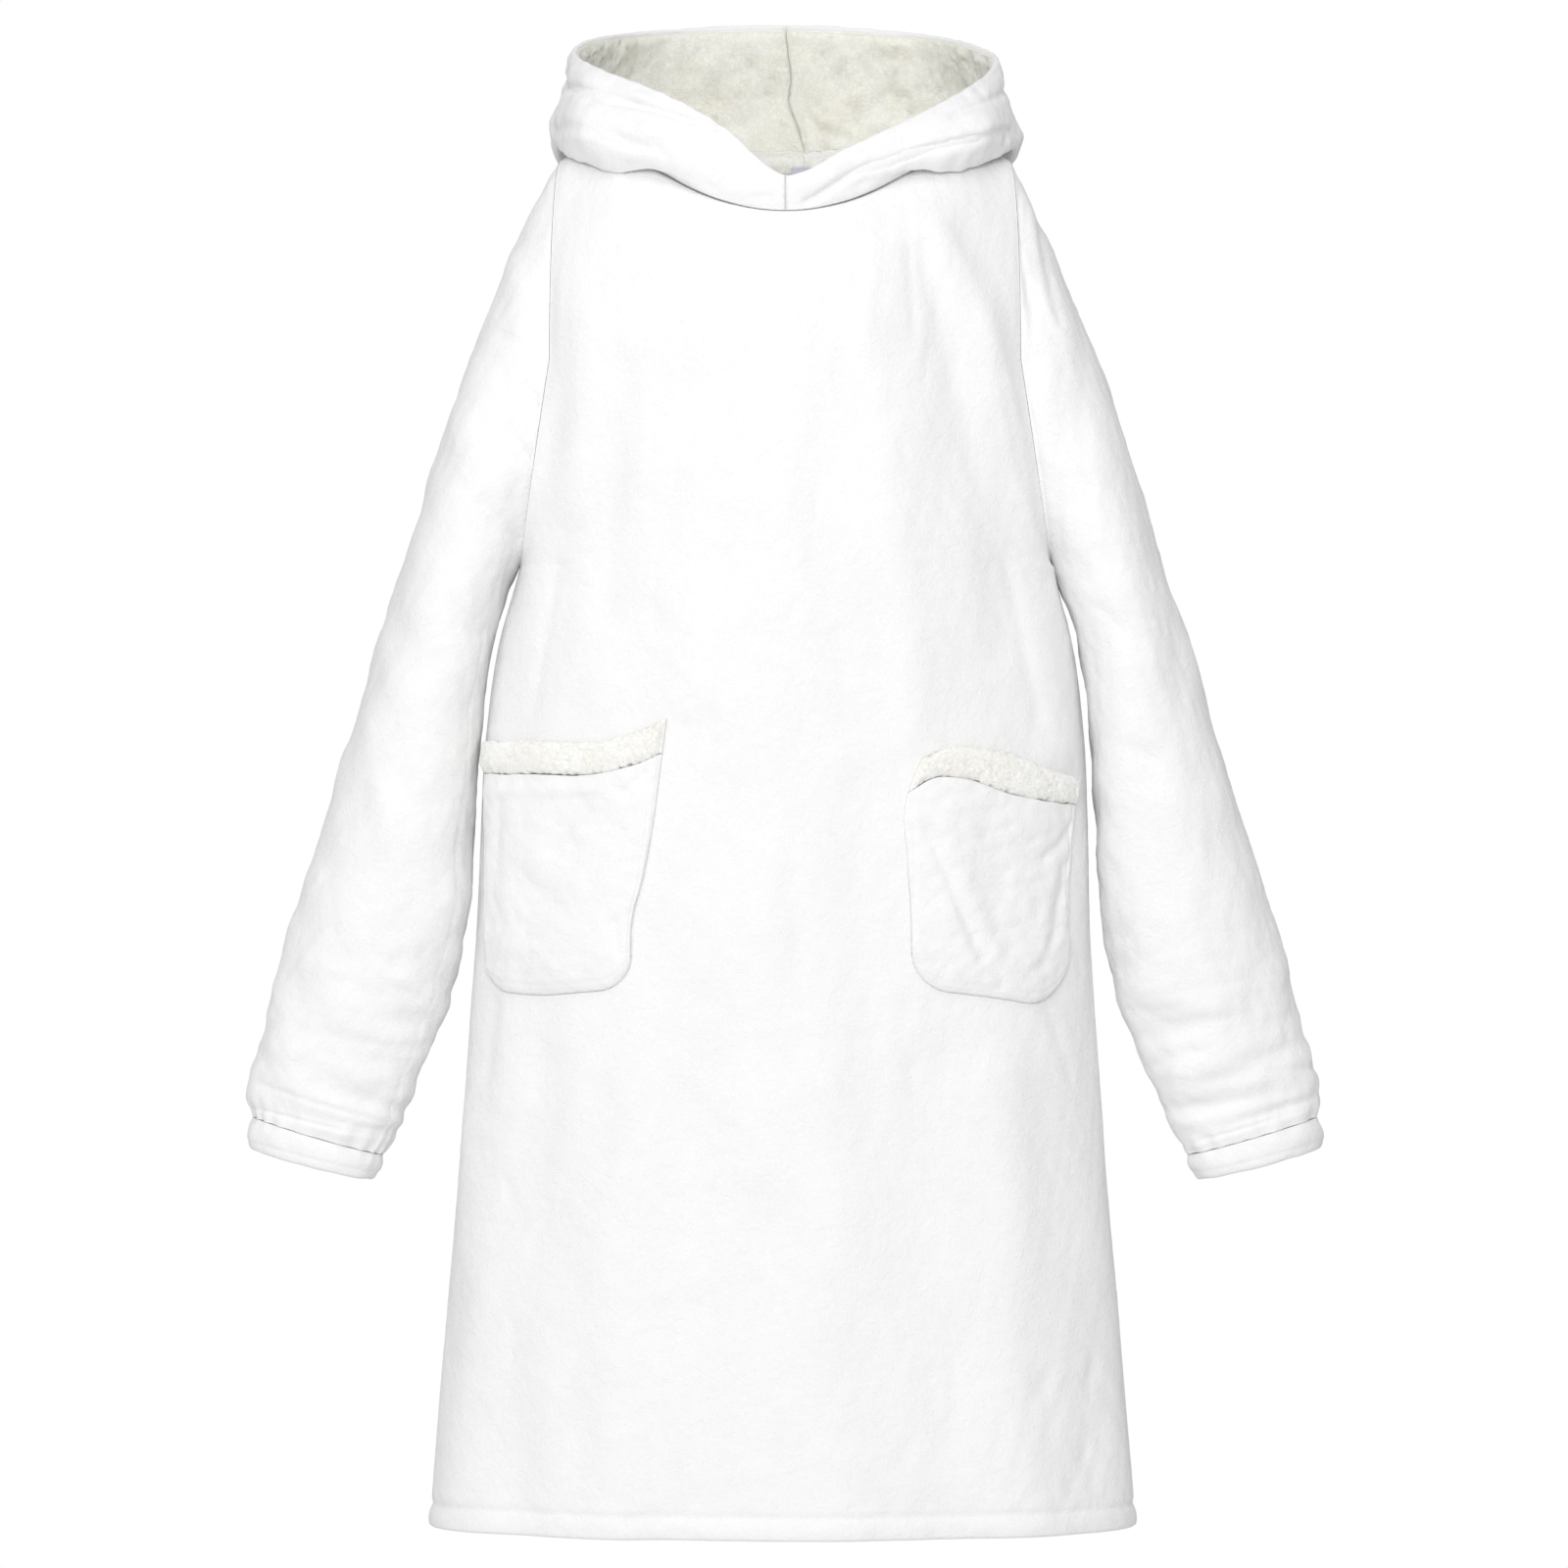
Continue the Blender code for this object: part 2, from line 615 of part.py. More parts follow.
def neck_label(inner, direction):
    """A blank label that hangs inside the back of the neck, from the neckline down."""
    top = inner[-1, inner.shape[1] // 2, 2]
    heights = np.linspace(top - LABEL_HANG[1], top - LABEL_HANG[0], 4)
    back = np.zeros((len(heights), 3, 3))
    facing = np.zeros_like(back)
    for c, x in enumerate(np.linspace(*LABEL_X, 3)):
        column = COLUMNS + NECK_COLUMNS * math.asin(x / NECK_HALF_WIDTH) / (math.pi / 2)
        for r, z in enumerate(heights):
            place, outward = on_panel(inner, direction, column, z)
            back[r, c] = (x, place[1], z)
            facing[r, c] = outward
    back = back - POCKET_GAP * facing
    solid("neck_label", back, back - LABEL_THICK * facing, "label")


def build():
    clear_scene()
    front, _, front_direction = body_panel("body_front", FRONT_HEIGHTS, -1, FRONT_FOLDS)
    _, back_inner, back_direction = body_panel("body_back", BACK_HEIGHTS, 1, BACK_FOLDS)
    for side, sign, troughs in (("left", -1, LEFT_TROUGHS), ("right", 1, RIGHT_TROUGHS)):
        sleeve(side, sign, troughs)
        hood(side, sign)
        pocket(side, sign, front, front_direction)
    neck_label(back_inner, back_direction)


build()
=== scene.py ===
"""The looks of a long, loose wearable blanket with a sherpa lined hood.

Each piece of cloth is a closed thin shell on the form of its solid, on a finer grid, with its folds,
creases, seams and pile. Tables and sizes are in millimetres, and shell() turns them into metres.
The front faces -Y, and the wearer's left side is at +X.
"""

import itertools
import math

import bpy
import numpy as np
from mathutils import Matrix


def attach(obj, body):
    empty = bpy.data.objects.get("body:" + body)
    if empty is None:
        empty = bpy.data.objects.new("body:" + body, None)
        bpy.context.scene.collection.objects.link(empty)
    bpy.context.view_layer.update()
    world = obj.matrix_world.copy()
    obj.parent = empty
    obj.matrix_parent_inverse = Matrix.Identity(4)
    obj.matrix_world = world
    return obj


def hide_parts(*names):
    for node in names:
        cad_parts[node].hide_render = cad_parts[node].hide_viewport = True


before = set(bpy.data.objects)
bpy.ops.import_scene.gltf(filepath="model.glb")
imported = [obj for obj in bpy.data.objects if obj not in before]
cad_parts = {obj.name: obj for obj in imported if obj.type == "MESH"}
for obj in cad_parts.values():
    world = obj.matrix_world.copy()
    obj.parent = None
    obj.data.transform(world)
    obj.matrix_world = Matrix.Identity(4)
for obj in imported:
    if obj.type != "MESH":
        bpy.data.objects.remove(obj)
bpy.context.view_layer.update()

MM = 0.001
SEAM_GAP = 0.3
BODY_THICK = 5.0
SLEEVE_THICK = 5.0
CUFF_THICK = 6.0
HOOD_THICK = 3.0
LINING_THICK = 4.0
LINING_GAP = 0.6
POCKET_THICK = 5.0
TRIM_THICK = 8.0
LABEL_THICK = 1.0
POCKET_GAP = 0.5
TRIM_GAP = 0.6

# The body's level sections: height, half width at the side seam, depth of the front and of the back.
HEM_Z = -1052.0
BODY_SECTIONS = (
    (HEM_Z, 279.5, 115, 115),
    (-990, 274.5, 116, 115),
    (-870, 264.5, 118, 114),
    (-750, 254.5, 120, 113),
    (-625, 245.5, 122, 112),
    (-590, 243, 122, 112),
    (-550, 241, 122, 111),
    (-500, 239, 122, 110),
    (-430, 235, 123, 110),
    (-360, 225, 124, 109),
    (-300, 208, 124, 108),
    (-140, 196, 120, 104),
)
# Away from its side edges a panel has this half width at a height.
FULL_WIDTHS = ((-450, 236.5), (-380, 226), (-300, 213), (-220, 209.5), (-140, 208.5))
EDGE_PINCH_POWER = 4
# The wearer's left side hangs a little nearer to the middle: height, distance.
RIGHT_EASE = ((HEM_Z, 3.5), (-600, 3), (-430, 0), (0, 0))

# The armhole is an oval that leans outward towards the underarm.
ARM_Z = -140.0
ARM_HALF_HEIGHT = 160.0
ARM_HALF_DEPTH = 60.0
ARM_LOWER_EDGE = ((-300, 208), (-223, 196), (-140, 183))
ARM_FOOT_Z = ARM_Z - ARM_HALF_HEIGHT

# The neckline and the shoulder seams.
NECK_HALF_WIDTH = 125.0
NECK_SIDE_Z = 42.0
NECK_FRONT = (95.0, -28.0)
NECK_BACK = (85.0, 31.0)
SHOULDER_TIP = (176.0, 20.0)
NECK_SHARE = 0.75
NECK_RISE_ANGLE = 55.0

# The fine grid of a panel: shares of the way from the centre to the side, heights, and steps above.
SIDE_SHARES = np.concatenate([np.linspace(0, 0.93, 66, endpoint=False), np.linspace(0.93, 1, 15)])
HEM_HEIGHTS = np.arange(HEM_Z, -1020, 2)
FRONT_HEIGHTS = np.concatenate([HEM_HEIGHTS, np.arange(-1020, ARM_FOOT_Z - 3, 5.5)])
BACK_HEIGHTS = np.concatenate([HEM_HEIGHTS, np.arange(-1020, ARM_FOOT_Z - 3, 7.5)])
ARM_STEPS = np.radians(np.linspace(-90, 0, 27))
TOP_STEPS = np.concatenate([np.linspace(0, 0.85, 22)[1:], np.linspace(0.87, 1, 9)])

# The turned hem: the stitched groove and the puffed roll below it.
HEM_GROOVE_Z = -1034.0
HEM_GROOVE = 1.3
HEM_GROOVE_WIDTH = 3.0
HEM_ROLL_Z = -1044.0
HEM_ROLL = 1.0
HEM_BAND = 6.0
HEM_ROUND = 2.6
HEM_ROUND_REACH = 12.0

# How deep and wide the valley along a sewn seam is.
SEAM_DIP = 0.5
SEAM_WIDTH = 4.0

# Folds of the front: start x and z, end x and z, half width, height. A trough's height is negative.
FRONT_FOLDS = (
    (118, -45, 152, -104, 13, 5),
    (152, -104, 178, -190, 13, 6),
    (178, -190, 198, -300, 14, 6),
    (198, -300, 214, -440, 15, 5),
    (108, -56, 126, -130, 12, -4),
    (126, -130, 150, -230, 13, -4),
    (150, -230, 172, -360, 15, -3),
    (60, -120, 88, -300, 16, 3),
    (88, -300, 96, -430, 18, 3),
    (30, -180, 44, -420, 20, -3),
    (-150, -110, -168, -250, 14, 4),
    (-128, -150, -140, -330, 15, -3),
    (-50, -140, -70, -400, 22, 3),
    (-10, -420, -22, -760, 24, 3),
    (60, -480, 72, -800, 24, -3),
    (28, -700, 40, -1052, 26, 4),
    (-62, -640, -80, -1052, 26, -4),
    (-120, -700, -136, -1052, 24, 4),
    (110, -690, 128, -1052, 26, -4),
    (168, -700, 186, -1052, 24, 5),
    (-190, -690, -212, -1052, 22, -4),
)
BACK_FOLDS = (
    (-150, -80, -172, -230, 15, 6),
    (-120, -90, -140, -300, 14, -4),
    (146, -90, 168, -260, 15, 6),
    (112, -100, 130, -330, 15, -4),
    (-40, -160, -58, -480, 24, 4),
    (24, -200, 40, -560, 24, -4),
    (88, -330, 96, -760, 26, 4),
    (-100, -420, -120, -880, 26, -4),
    (-20, -560, -30, -1052, 28, 5),
    (50, -700, 62, -1052, 26, -4),
    (132, -640, 150, -1052, 26, 5),
    (-160, -700, -178, -1052, 24, 5),
    (194, -760, 212, -1052, 22, -4),
)
# Finer creases, in the same columns.
FRONT_CREASES = (
    (96, -62, 100, -118, 4, -1.6),
    (128, -70, 150, -112, 4, -1.4),
    (164, -150, 182, -232, 4.5, -1.6),
    (172, -290, 196, -420, 5, -1.8),
    (219, -582, 232, -612, 4, -2.2),
    (204, -642, 222, -700, 5, -1.5),
    (-30, -60, -64, -120, 5, -1.2),
    (-72, -48, -98, -92, 5, -1.3),
    (20, -46, 34, -96, 5, -1.1),
    (-176, -300, -196, -410, 5, -1.7),
    (-214, -470, -222, -560, 5, -1.5),
    (-226, -640, -232, -700, 5, -1.5),
    (-96, -660, -108, -720, 6, -1.3),
    (92, -640, 100, -712, 6, -1.3),
    (6, -520, 12, -640, 7, -1.2),
)
BACK_CREASES = (
    (-96, -60, -118, -128, 5, -1.6),
    (98, -62, 116, -130, 5, -1.6),
    (-30, -40, -40, -110, 5, -1.2),
    (34, -44, 46, -120, 5, -1.2),
    (176, -300, 196, -400, 5, -1.8),
    (-178, -290, -198, -410, 5, -1.8),
    (-60, -560, -66, -680, 7, -1.3),
    (66, -600, 76, -720, 7, -1.3),
)

# Crushed pile: x and z from, x and z to, how many short creases, seed.
FRONT_CRUSHED = (
    (104, -1030, 250, -905, 70, 3),
    (-250, -1030, 100, -660, 60, 4),
    (-150, -560, 200, -120, 50, 5),
)
BACK_CRUSHED = ((-250, -1030, 240, -500, 90, 6), (-150, -500, 150, -90, 50, 7))

# The sleeve's sections: station, outer x and z, inner x and z, half depth.
SLEEVE_SECTIONS = (
    (0, 176, 20, 208, -300, 60),
    (1, 207, -38, 215, -312, 61),
    (2, 233, -100, 221, -330, 62),
    (3, 258, -162, 228, -352, 63),
    (4, 278, -223, 232.5, -378, 63),
    (5, 296, -285, 237, -410, 63),
    (6, 316, -346, 240.5, -447, 62),
    (7, 335, -408, 242.5, -487, 61),
    (8, 354, -470, 244.5, -527, 59),
    (9, 373, -531, 248, -574, 56),
    (10, 392, -593, 259, -632, 53),
    (11, 405, -640, 276, -675, 48),
    (12, 416, -685, 292, -716, 43),
    (13, 420, -713, 302, -742, 38),
    (14, 418, -731, 316, -761, 35),
)
ARM_BLEND_STATIONS = 4.0
TROUGH_SHARE = 0.7
SLEEVE_EASE = {"left": 0.5, "right": 3.0}
SLEEVE_STATIONS = np.concatenate(
    [np.linspace(0, 0.3, 9), np.linspace(0.36, 9, 84), np.linspace(9.06, 13.8, 78), np.linspace(13.84, 14, 5)]
)
SLEEVE_ANGLES = np.radians(np.arange(-90, 270, 2.5))
CUFF_SECTIONS = (
    (0, 418, -731, 316, -761, 35),
    (1, 422, -744, 318, -772, 36),
    (2, 420, -757, 325, -781, 34),
)
CUFF_LEVELS = np.linspace(0, 1.78, 21)

# Troughs around the forearms: station, half width in stations, depth, angle of the deepest place
# (-90 is the side towards the body, 0 the front), its spread, and the slant in stations per 90 degrees.
LEFT_TROUGHS = (
    (9.9, 0.24, 5, -62, 48, -0.3),
    (10.7, 0.22, 4, -70, 40, -0.2),
    (11.5, 0.24, 5, -55, 52, -0.2),
    (12.3, 0.22, 5, -50, 55, -0.1),
    (13.1, 0.2, 4, -64, 60, 0.1),
    (11.1, 0.26, 4, 150, 60, 0.2),
    (12.6, 0.24, 4, 190, 60, -0.2),
    (10.2, 0.1, 1.6, -30, 40, -0.3),
    (11.2, 0.1, 1.8, -20, 45, 0.2),
    (12.7, 0.09, 2, 0, 60, -0.2),
    (13.45, 0.09, 2, 20, 60, 0.15),
    (9.3, 0.12, 1.8, -80, 34, -0.4),
)
RIGHT_TROUGHS = (
    (9.8, 0.24, 4, -70, 44, -0.2),
    (10.9, 0.26, 5, -30, 62, 0.2),
    (11.8, 0.22, 4, 20, 55, -0.4),
    (12.5, 0.26, 6, -20, 66, 0.2),
    (13.1, 0.2, 4, 40, 55, -0.2),
    (11.3, 0.26, 4, 160, 60, -0.2),
    (12.7, 0.24, 4, 200, 60, 0.2),
    (10.3, 0.1, 1.8, 0, 50, 0.25),
    (11.35, 0.1, 2, -45, 40, -0.2),
    (12.15, 0.09, 2, 60, 40, 0.3),
    (13.5, 0.09, 2, -10, 60, -0.15),
    (9.2, 0.12, 1.8, -84, 34, 0.3),
)
# Creases of the sleeves' fronts: start x and z, end x and z, half width, height.
LEFT_SLEEVE_CREASES = (
    (202, -162, 186, -183, 4, -2.2),
    (215, -197, 197, -216, 4, -2.2),
    (236, -253, 209, -280, 5, -2.4),
    (222, -120, 200, -134, 5, -1.6),
    (262, -330, 238, -352, 5, -2),
    (212, -60, 204, -140, 8, 1.6),
    (276, -430, 252, -446, 5, -1.6),
    (316, -470, 300, -560, 9, 1.6),
)
RIGHT_SLEEVE_CREASES = (
    (178, -12, 193, -114, 3.5, -1.8),
    (188, 0, 204, -100, 4, 1.6),
    (199, -14, 214, -110, 3.5, -1.4),
    (190, -140, 204, -300, 5, -1.6),
    (214, -210, 236, -240, 5, -1.6),
    (240, -330, 262, -352, 5, -1.8),
    (262, -440, 288, -452, 5, -1.6),
    (330, -480, 312, -570, 9, 1.6),
)

# The hood, front to back. Each row gives a place's angle round the neck and the x, y, z of one level.
HOOD_LOW = (
    (0, 0, -95.5, -24),
    (22, 47.5, -90, -19),
    (46, 95, -72, 4),
    (67, 129, -48, 19),
    (78, 145, -27, 38),
    (90, 152, -4, 50),
    (120, 140, 66, 26),
    (150, 76, 112, -18),
    (180, 0, 128, -28),
)
HOOD_TURN = (
    (0, 0, -96.5, -18),
    (22, 48, -92, -12),
    (46, 100, -77, 6),
    (67, 144, -51, 8),
    (78, 163, -31, 17),
    (90, 176, -6, 28),
    (120, 164, 84, 0),
    (150, 96, 146, -60),
    (180, 0, 156, -86),
)
HOOD_BELLY = (
    (0, 0, -97, -12),
    (22, 49, -93.5, -1),
    (46, 105, -81.5, 19),
    (67, 157, -59, 32),
    (90, 181, 1, 44),
    (120, 178, 86, 30),
    (150, 124, 178, -24),
    (180, 0, 202, -52),
)
HOOD_UPPER = (
    (0, 0, -97, -6),
    (22, 49, -93.5, 13),
    (46, 103, -79, 37),
    (67, 154, -51, 58),
    (90, 173.5, 10, 74),
    (120, 170, 92, 79),
    (150, 132, 184, 66),
    (180, 0, 224, 50),
)
HOOD_RIM = (
    (0, 0, -96.5, 0.5),
    (22, 47.5, -89, 30),
    (46, 96.5, -70, 57),
    (67, 141, -40, 80),
    (90, 166, 15, 101),
    (120, 158, 98, 124),
    (150, 104, 180, 143),
    (180, 0, 205, 151),
)
HOOD_LEVELS = (HOOD_LOW, HOOD_TURN, HOOD_BELLY, HOOD_UPPER, HOOD_RIM)
HOOD_PLAIN_ROWS = 10
HOOD_PLAIN_STEP = 10.0
HOOD_SMOOTHING = 5
# The rim stands higher on the wearer's right: angle round the neck, height above the mean.
RIM_LEAN = ((0, 0), (22, 8), (46, 10), (67, 7), (90, 4), (120, 3), (150, 1), (180, 0))
RIM_SHORT = 0.05
HOOD_ROWS = 84
HOOD_COLUMNS = 121
LINING_ROWS = 120
LINING_COLUMNS = 211

# Folds of the hood's outside: angle and distance below the rim at both ends, half width, height.
DEGREE_LENGTH = 2.4
LEFT_HOOD_FOLDS = (
    (24, 2, 33, 10, 3, -3),
    (33, 10, 46, 16, 3.5, -4),
    (46, 16, 59, 22, 4, -4.5),
    (59, 22, 71, 23, 4, -4.5),
    (71, 23, 92, 28, 4.5, -4.5),
    (92, 28, 130, 24, 4, -3),
    (130, 24, 180, 22, 4, -3),
    (42, 47, 56, 53, 6, -2.5),
    (56, 53, 67, 55, 6, -2.5),
    (67, 55, 95, 67, 6, -2.5),
    (100, 60, 140, 74, 10, 4),
    (110, 88, 150, 104, 10, -4),
)
RIGHT_HOOD_FOLDS = (
    (8, 26, 27, 24, 4, -4),
    (27, 24, 37, 29, 4, -4),
    (37, 29, 50, 35, 4.5, -4.5),
    (50, 35, 64, 48, 4.5, -4),
    (64, 48, 86, 56, 5, -2.5),
    (80, 60, 81, 62, 2.5, -4),
    (58, 17, 90, 24, 4, -2.2),
    (90, 24, 130, 24, 4, -3),
    (130, 24, 180, 22, 4, -3),
    (96, 66, 138, 80, 10, 4),
    (112, 96, 150, 108, 10, -4),
)
RIM_EXTRA = 2.0
RIM_EXTRA_REACH = 4.5
RIM_ROUND = 2.6
RIM_ROUND_REACH = 12.0
RIM_PUFF = 0.8

# The parting down the middle of the lining wanders: height, distance to the wearer's left.
PARTING = ((-30, 14), (30, 18), (50, 15.6), (70, 10), (90, 3), (106, 5), (127, 2.5), (151, 0))
PARTING_REACH = 30.0
# Wrinkles of the lining's back, in the columns of the body's folds.
LINING_FOLDS = (
    (18, 52, 44, 34, 3.5, -3.5),
    (24, 66, 52, 56, 4, -2.5),
    (14, 78, 26, 58, 4, -2.5),
    (-8, 120, -14, 84, 5, -2),
    (-70, 108, -40, 66, 6, -2.2),
    (-36, 124, -24, 92, 6, -1.8),
    (60, 118, 74, 84, 6, -2),
    (88, 96, 60, 70, 5, -2),
    (36, 128, 44, 96, 5, -1.6),
)
# How far the lining's lower edge hangs below the neckline at the back, how far inside it, the share
# of both that is left at the front, and the angle where they start to grow and the span they take.
LINING_HANG = 16.0
LINING_INSET = 4.0
LINING_HANG_FRONT = 0.08
LINING_HANG_FROM = 105.0
LINING_HANG_SPAN = 35.0
LINING_STRIP_ROWS = 12

# The pockets: height, x of the inner edge and x of the outer edge.
POCKET_SIDES = {
    "left": ((-640, 119, 228), (-605, 118, 231), (-574, 117, 232), (-545, 109.5, 232), (-420, 90.5, 233)),
    "right": (
        (-640, 99, 216),
        (-598, 97, 218),
        (-563, 96, 217.5),
        (-523, 93.5, 221),
        (-488, 92, 225),
        (-455, 103, 227),
        (-440, 112, 227),
    ),
}
# From the inner edge to the outer edge: share of the way, bottom, lower edge of the trim, top.
POCKET_HEIGHTS = {
    "left": (
        (0, -627, -446, -420),
        (0.1, -628, -453, -427),
        (0.3, -630, -461, -436),
        (0.7, -633, -462, -437),
        (1, -630, -462, -437),
    ),
    "right": (
        (0, -626, -476, -450),
        (0.1, -628, -466, -443),
        (0.3, -631, -466, -442),
        (0.6, -636, -478, -449),
        (0.8, -640, -483, -458),
        (1, -639, -486, -466),
    ),
}
# The radii of the bottom corners, inner and outer.
POCKET_CORNERS = {"left": (24, 16), "right": (26, 30)}
POCKET_FOLDS = {
    "left": (
        (-106, -462, -121, -476, 4, -1.8),
        (-130, -577, -128, -598, 3.5, -1.6),
        (-140, -474, -215, -476, 5, 1.5),
        (-170, -500, -176, -560, 12, -1.5),
        (-205, -490, -209, -590, 10, 1.5),
    ),
    "right": (
        (110, -506, 148, -605, 4.5, -2.2),
        (121, -504, 158, -600, 6, 1.4),
        (222, -501, 197, -527, 4, -2.2),
        (214, -533, 204.5, -584, 4, -2.2),
        (204.5, -584, 195, -612, 4, -2.2),
        (204, -535, 195, -584, 5, 1.8),
        (170, -496, 176, -570, 12, 1.5),
    ),
}
POCKET_BULGE = 3.0
POCKET_STITCH_INSET = 7.0
POCKET_STITCH_DEPTH = 1.0
POCKET_EDGE_DIP = 3.4
POCKET_GRID = (86, 96)
TRIM_GRID = (30, 150)

LABEL_X = (6.0, 22.0)
LABEL_HANG = (3.0, 30.0)
# How far the label stands off the cloth behind it, and how much more at its foot.
LABEL_LIFT = 12.0
LABEL_TILT = 1.5

TUFT_PITCH = 5.5
TUFT_HEIGHT = 3.2
TRIM_TUFT_PITCH = 4.2
TRIM_TUFT_HEIGHT = 1.3


def curve(rows, at):
    """Smooth values between the rows of a table, whose first column rises."""
    table = np.array(rows, float)
    key, value = table[:, 0], table[:, 1:]
    at = np.clip(np.asarray(at, float), key[0], key[-1])
    slope = np.gradient(value, key, axis=0)
    i = np.clip(np.searchsorted(key, at, side="right") - 1, 0, len(key) - 2)
    span = (key[i + 1] - key[i])[..., None]
    t = (at - key[i])[..., None] / span
    start = value[i] * (2 * t**3 - 3 * t**2 + 1) + slope[i] * span * (t**3 - 2 * t**2 + t)
    end = value[i + 1] * (3 * t**2 - 2 * t**3) + slope[i + 1] * span * (t**3 - t**2)
    return start + end


def unit(vectors):
    return vectors / np.maximum(np.linalg.norm(vectors, axis=-1, keepdims=True), 1e-9)


def smooth(share):
    """A soft step from 0 to 1."""
    share = np.clip(share, 0, 1)
    return share * share * (3 - 2 * share)


def normals(points, inside):
    """The outward directions of a grid of points around a place that is inside the garment."""
    found = unit(np.cross(np.gradient(points, axis=1), np.gradient(points, axis=0)))
    if (found * (points - np.array(inside, float))).sum() < 0:
        found = -found
    return found


def tube_normals(points):
    """Outward directions of rings of points, each ring measured from its own middle."""
    across = (np.roll(points, -1, axis=1) - np.roll(points, 1, axis=1)) / 2
    found = unit(np.cross(across, np.gradient(points, axis=0)))
    outward = (found * (points - points.mean(axis=1, keepdims=True))).sum()
    return found if outward > 0 else -found


def reach(points, axis):
    """How far each point of a grid is along the cloth from the first one of its row or column."""
    step = np.linalg.norm(np.diff(points, axis=axis), axis=-1)
    start = np.zeros_like(np.take(step, [0], axis=axis))
    return np.concatenate([start, np.cumsum(step, axis=axis)], axis=axis)


def reach_back(points, axis):
    """The same from the last point of each row or column."""
    return np.flip(reach(np.flip(points, axis), axis), axis)


def folds(rows, x, z):
    """Height of the soft ridges and troughs of a table at the places x and z. A row that starts where
    the one before it ended carries it on, and doesn't add to it."""
    total = np.zeros_like(x)
    run_on = np.zeros_like(x)
    last = None
    for x0, z0, x1, z1, width, height in rows:
        if (x0, z0) != last:
            total += run_on
            run_on = np.zeros_like(x)
        run = np.array([x1 - x0, z1 - z0], float)
        share = np.clip(((x - x0) * run[0] + (z - z0) * run[1]) / (run @ run), 0, 1)
        away = np.hypot(x - x0 - share * run[0], z - z0 - share * run[1])
        one = height * np.exp(-((away / width) ** 2))
        run_on = np.where(np.abs(one) > np.abs(run_on), one, run_on)
        last = (x1, z1)
    return total + run_on


def crushed(areas):
    """Short shallow creases of crushed pile, scattered over each area of a table."""
    rows = []
    for x0, z0, x1, z1, count, seed in areas:
        rng = np.random.default_rng(seed)
        for _ in range(count):
            x, z = rng.uniform(x0, x1), rng.uniform(z0, z1)
            lean, length = rng.normal(0, 0.6), rng.uniform(8, 34)
            width, height = rng.uniform(2.6, 5), rng.uniform(-1.3, 0.5)
            rows.append((x, z, x + length * math.sin(lean), z - length * math.cos(lean), width, height))
    return rows


def waves(points, seed, length, height):
    """Gentle uneven swells of about one length, from a fixed set of crossing waves."""
    rng = np.random.default_rng(seed)
    direction = unit(rng.normal(size=(24, 3)))
    pace = 2 * math.pi / length * rng.uniform(0.6, 1.5, 24)
    phase = rng.uniform(0, 2 * math.pi, 24)
    return height * np.sin((points @ direction.T) * pace + phase).sum(axis=-1) / math.sqrt(12)


def tufts(points, pitch, seed):
    """From 0 between the curly tufts of a pile to 1 on them, at each point."""
    bend = np.stack([waves(points, seed + k, pitch * 2.2, pitch * 0.3) for k in range(3)], axis=-1)
    cell = (points + bend) / pitch
    cell -= cell.min(axis=(0, 1)) - 2
    base = np.floor(cell).astype(int)
    size = base.max(axis=(0, 1)) + 3
    rng = np.random.default_rng(seed)
    place = rng.random((*size, 3))
    tall = rng.uniform(0.5, 1, tuple(size))
    best = np.zeros(points.shape[:2])
    for step in itertools.product((-1, 0, 1), repeat=3):
        near = tuple(np.moveaxis(base + np.array(step), -1, 0))
        away = np.linalg.norm(cell - np.stack(near, axis=-1) - place[near], axis=-1)
        best = np.maximum(best, tall[near] * (1 - (away / 0.85) ** 2))
    return np.sqrt(best)


def edge_roll(edge, other, neighbour):
    """Rows that round off a wall's end from one side's last row to the other's."""
    middle = (edge + other) / 2
    across = edge - middle
    out = unit(edge - neighbour) * np.linalg.norm(across, axis=-1, keepdims=True)
    return [middle + across * math.cos(a) + out * math.sin(a) for a in np.radians((35, 70, 110, 145))]


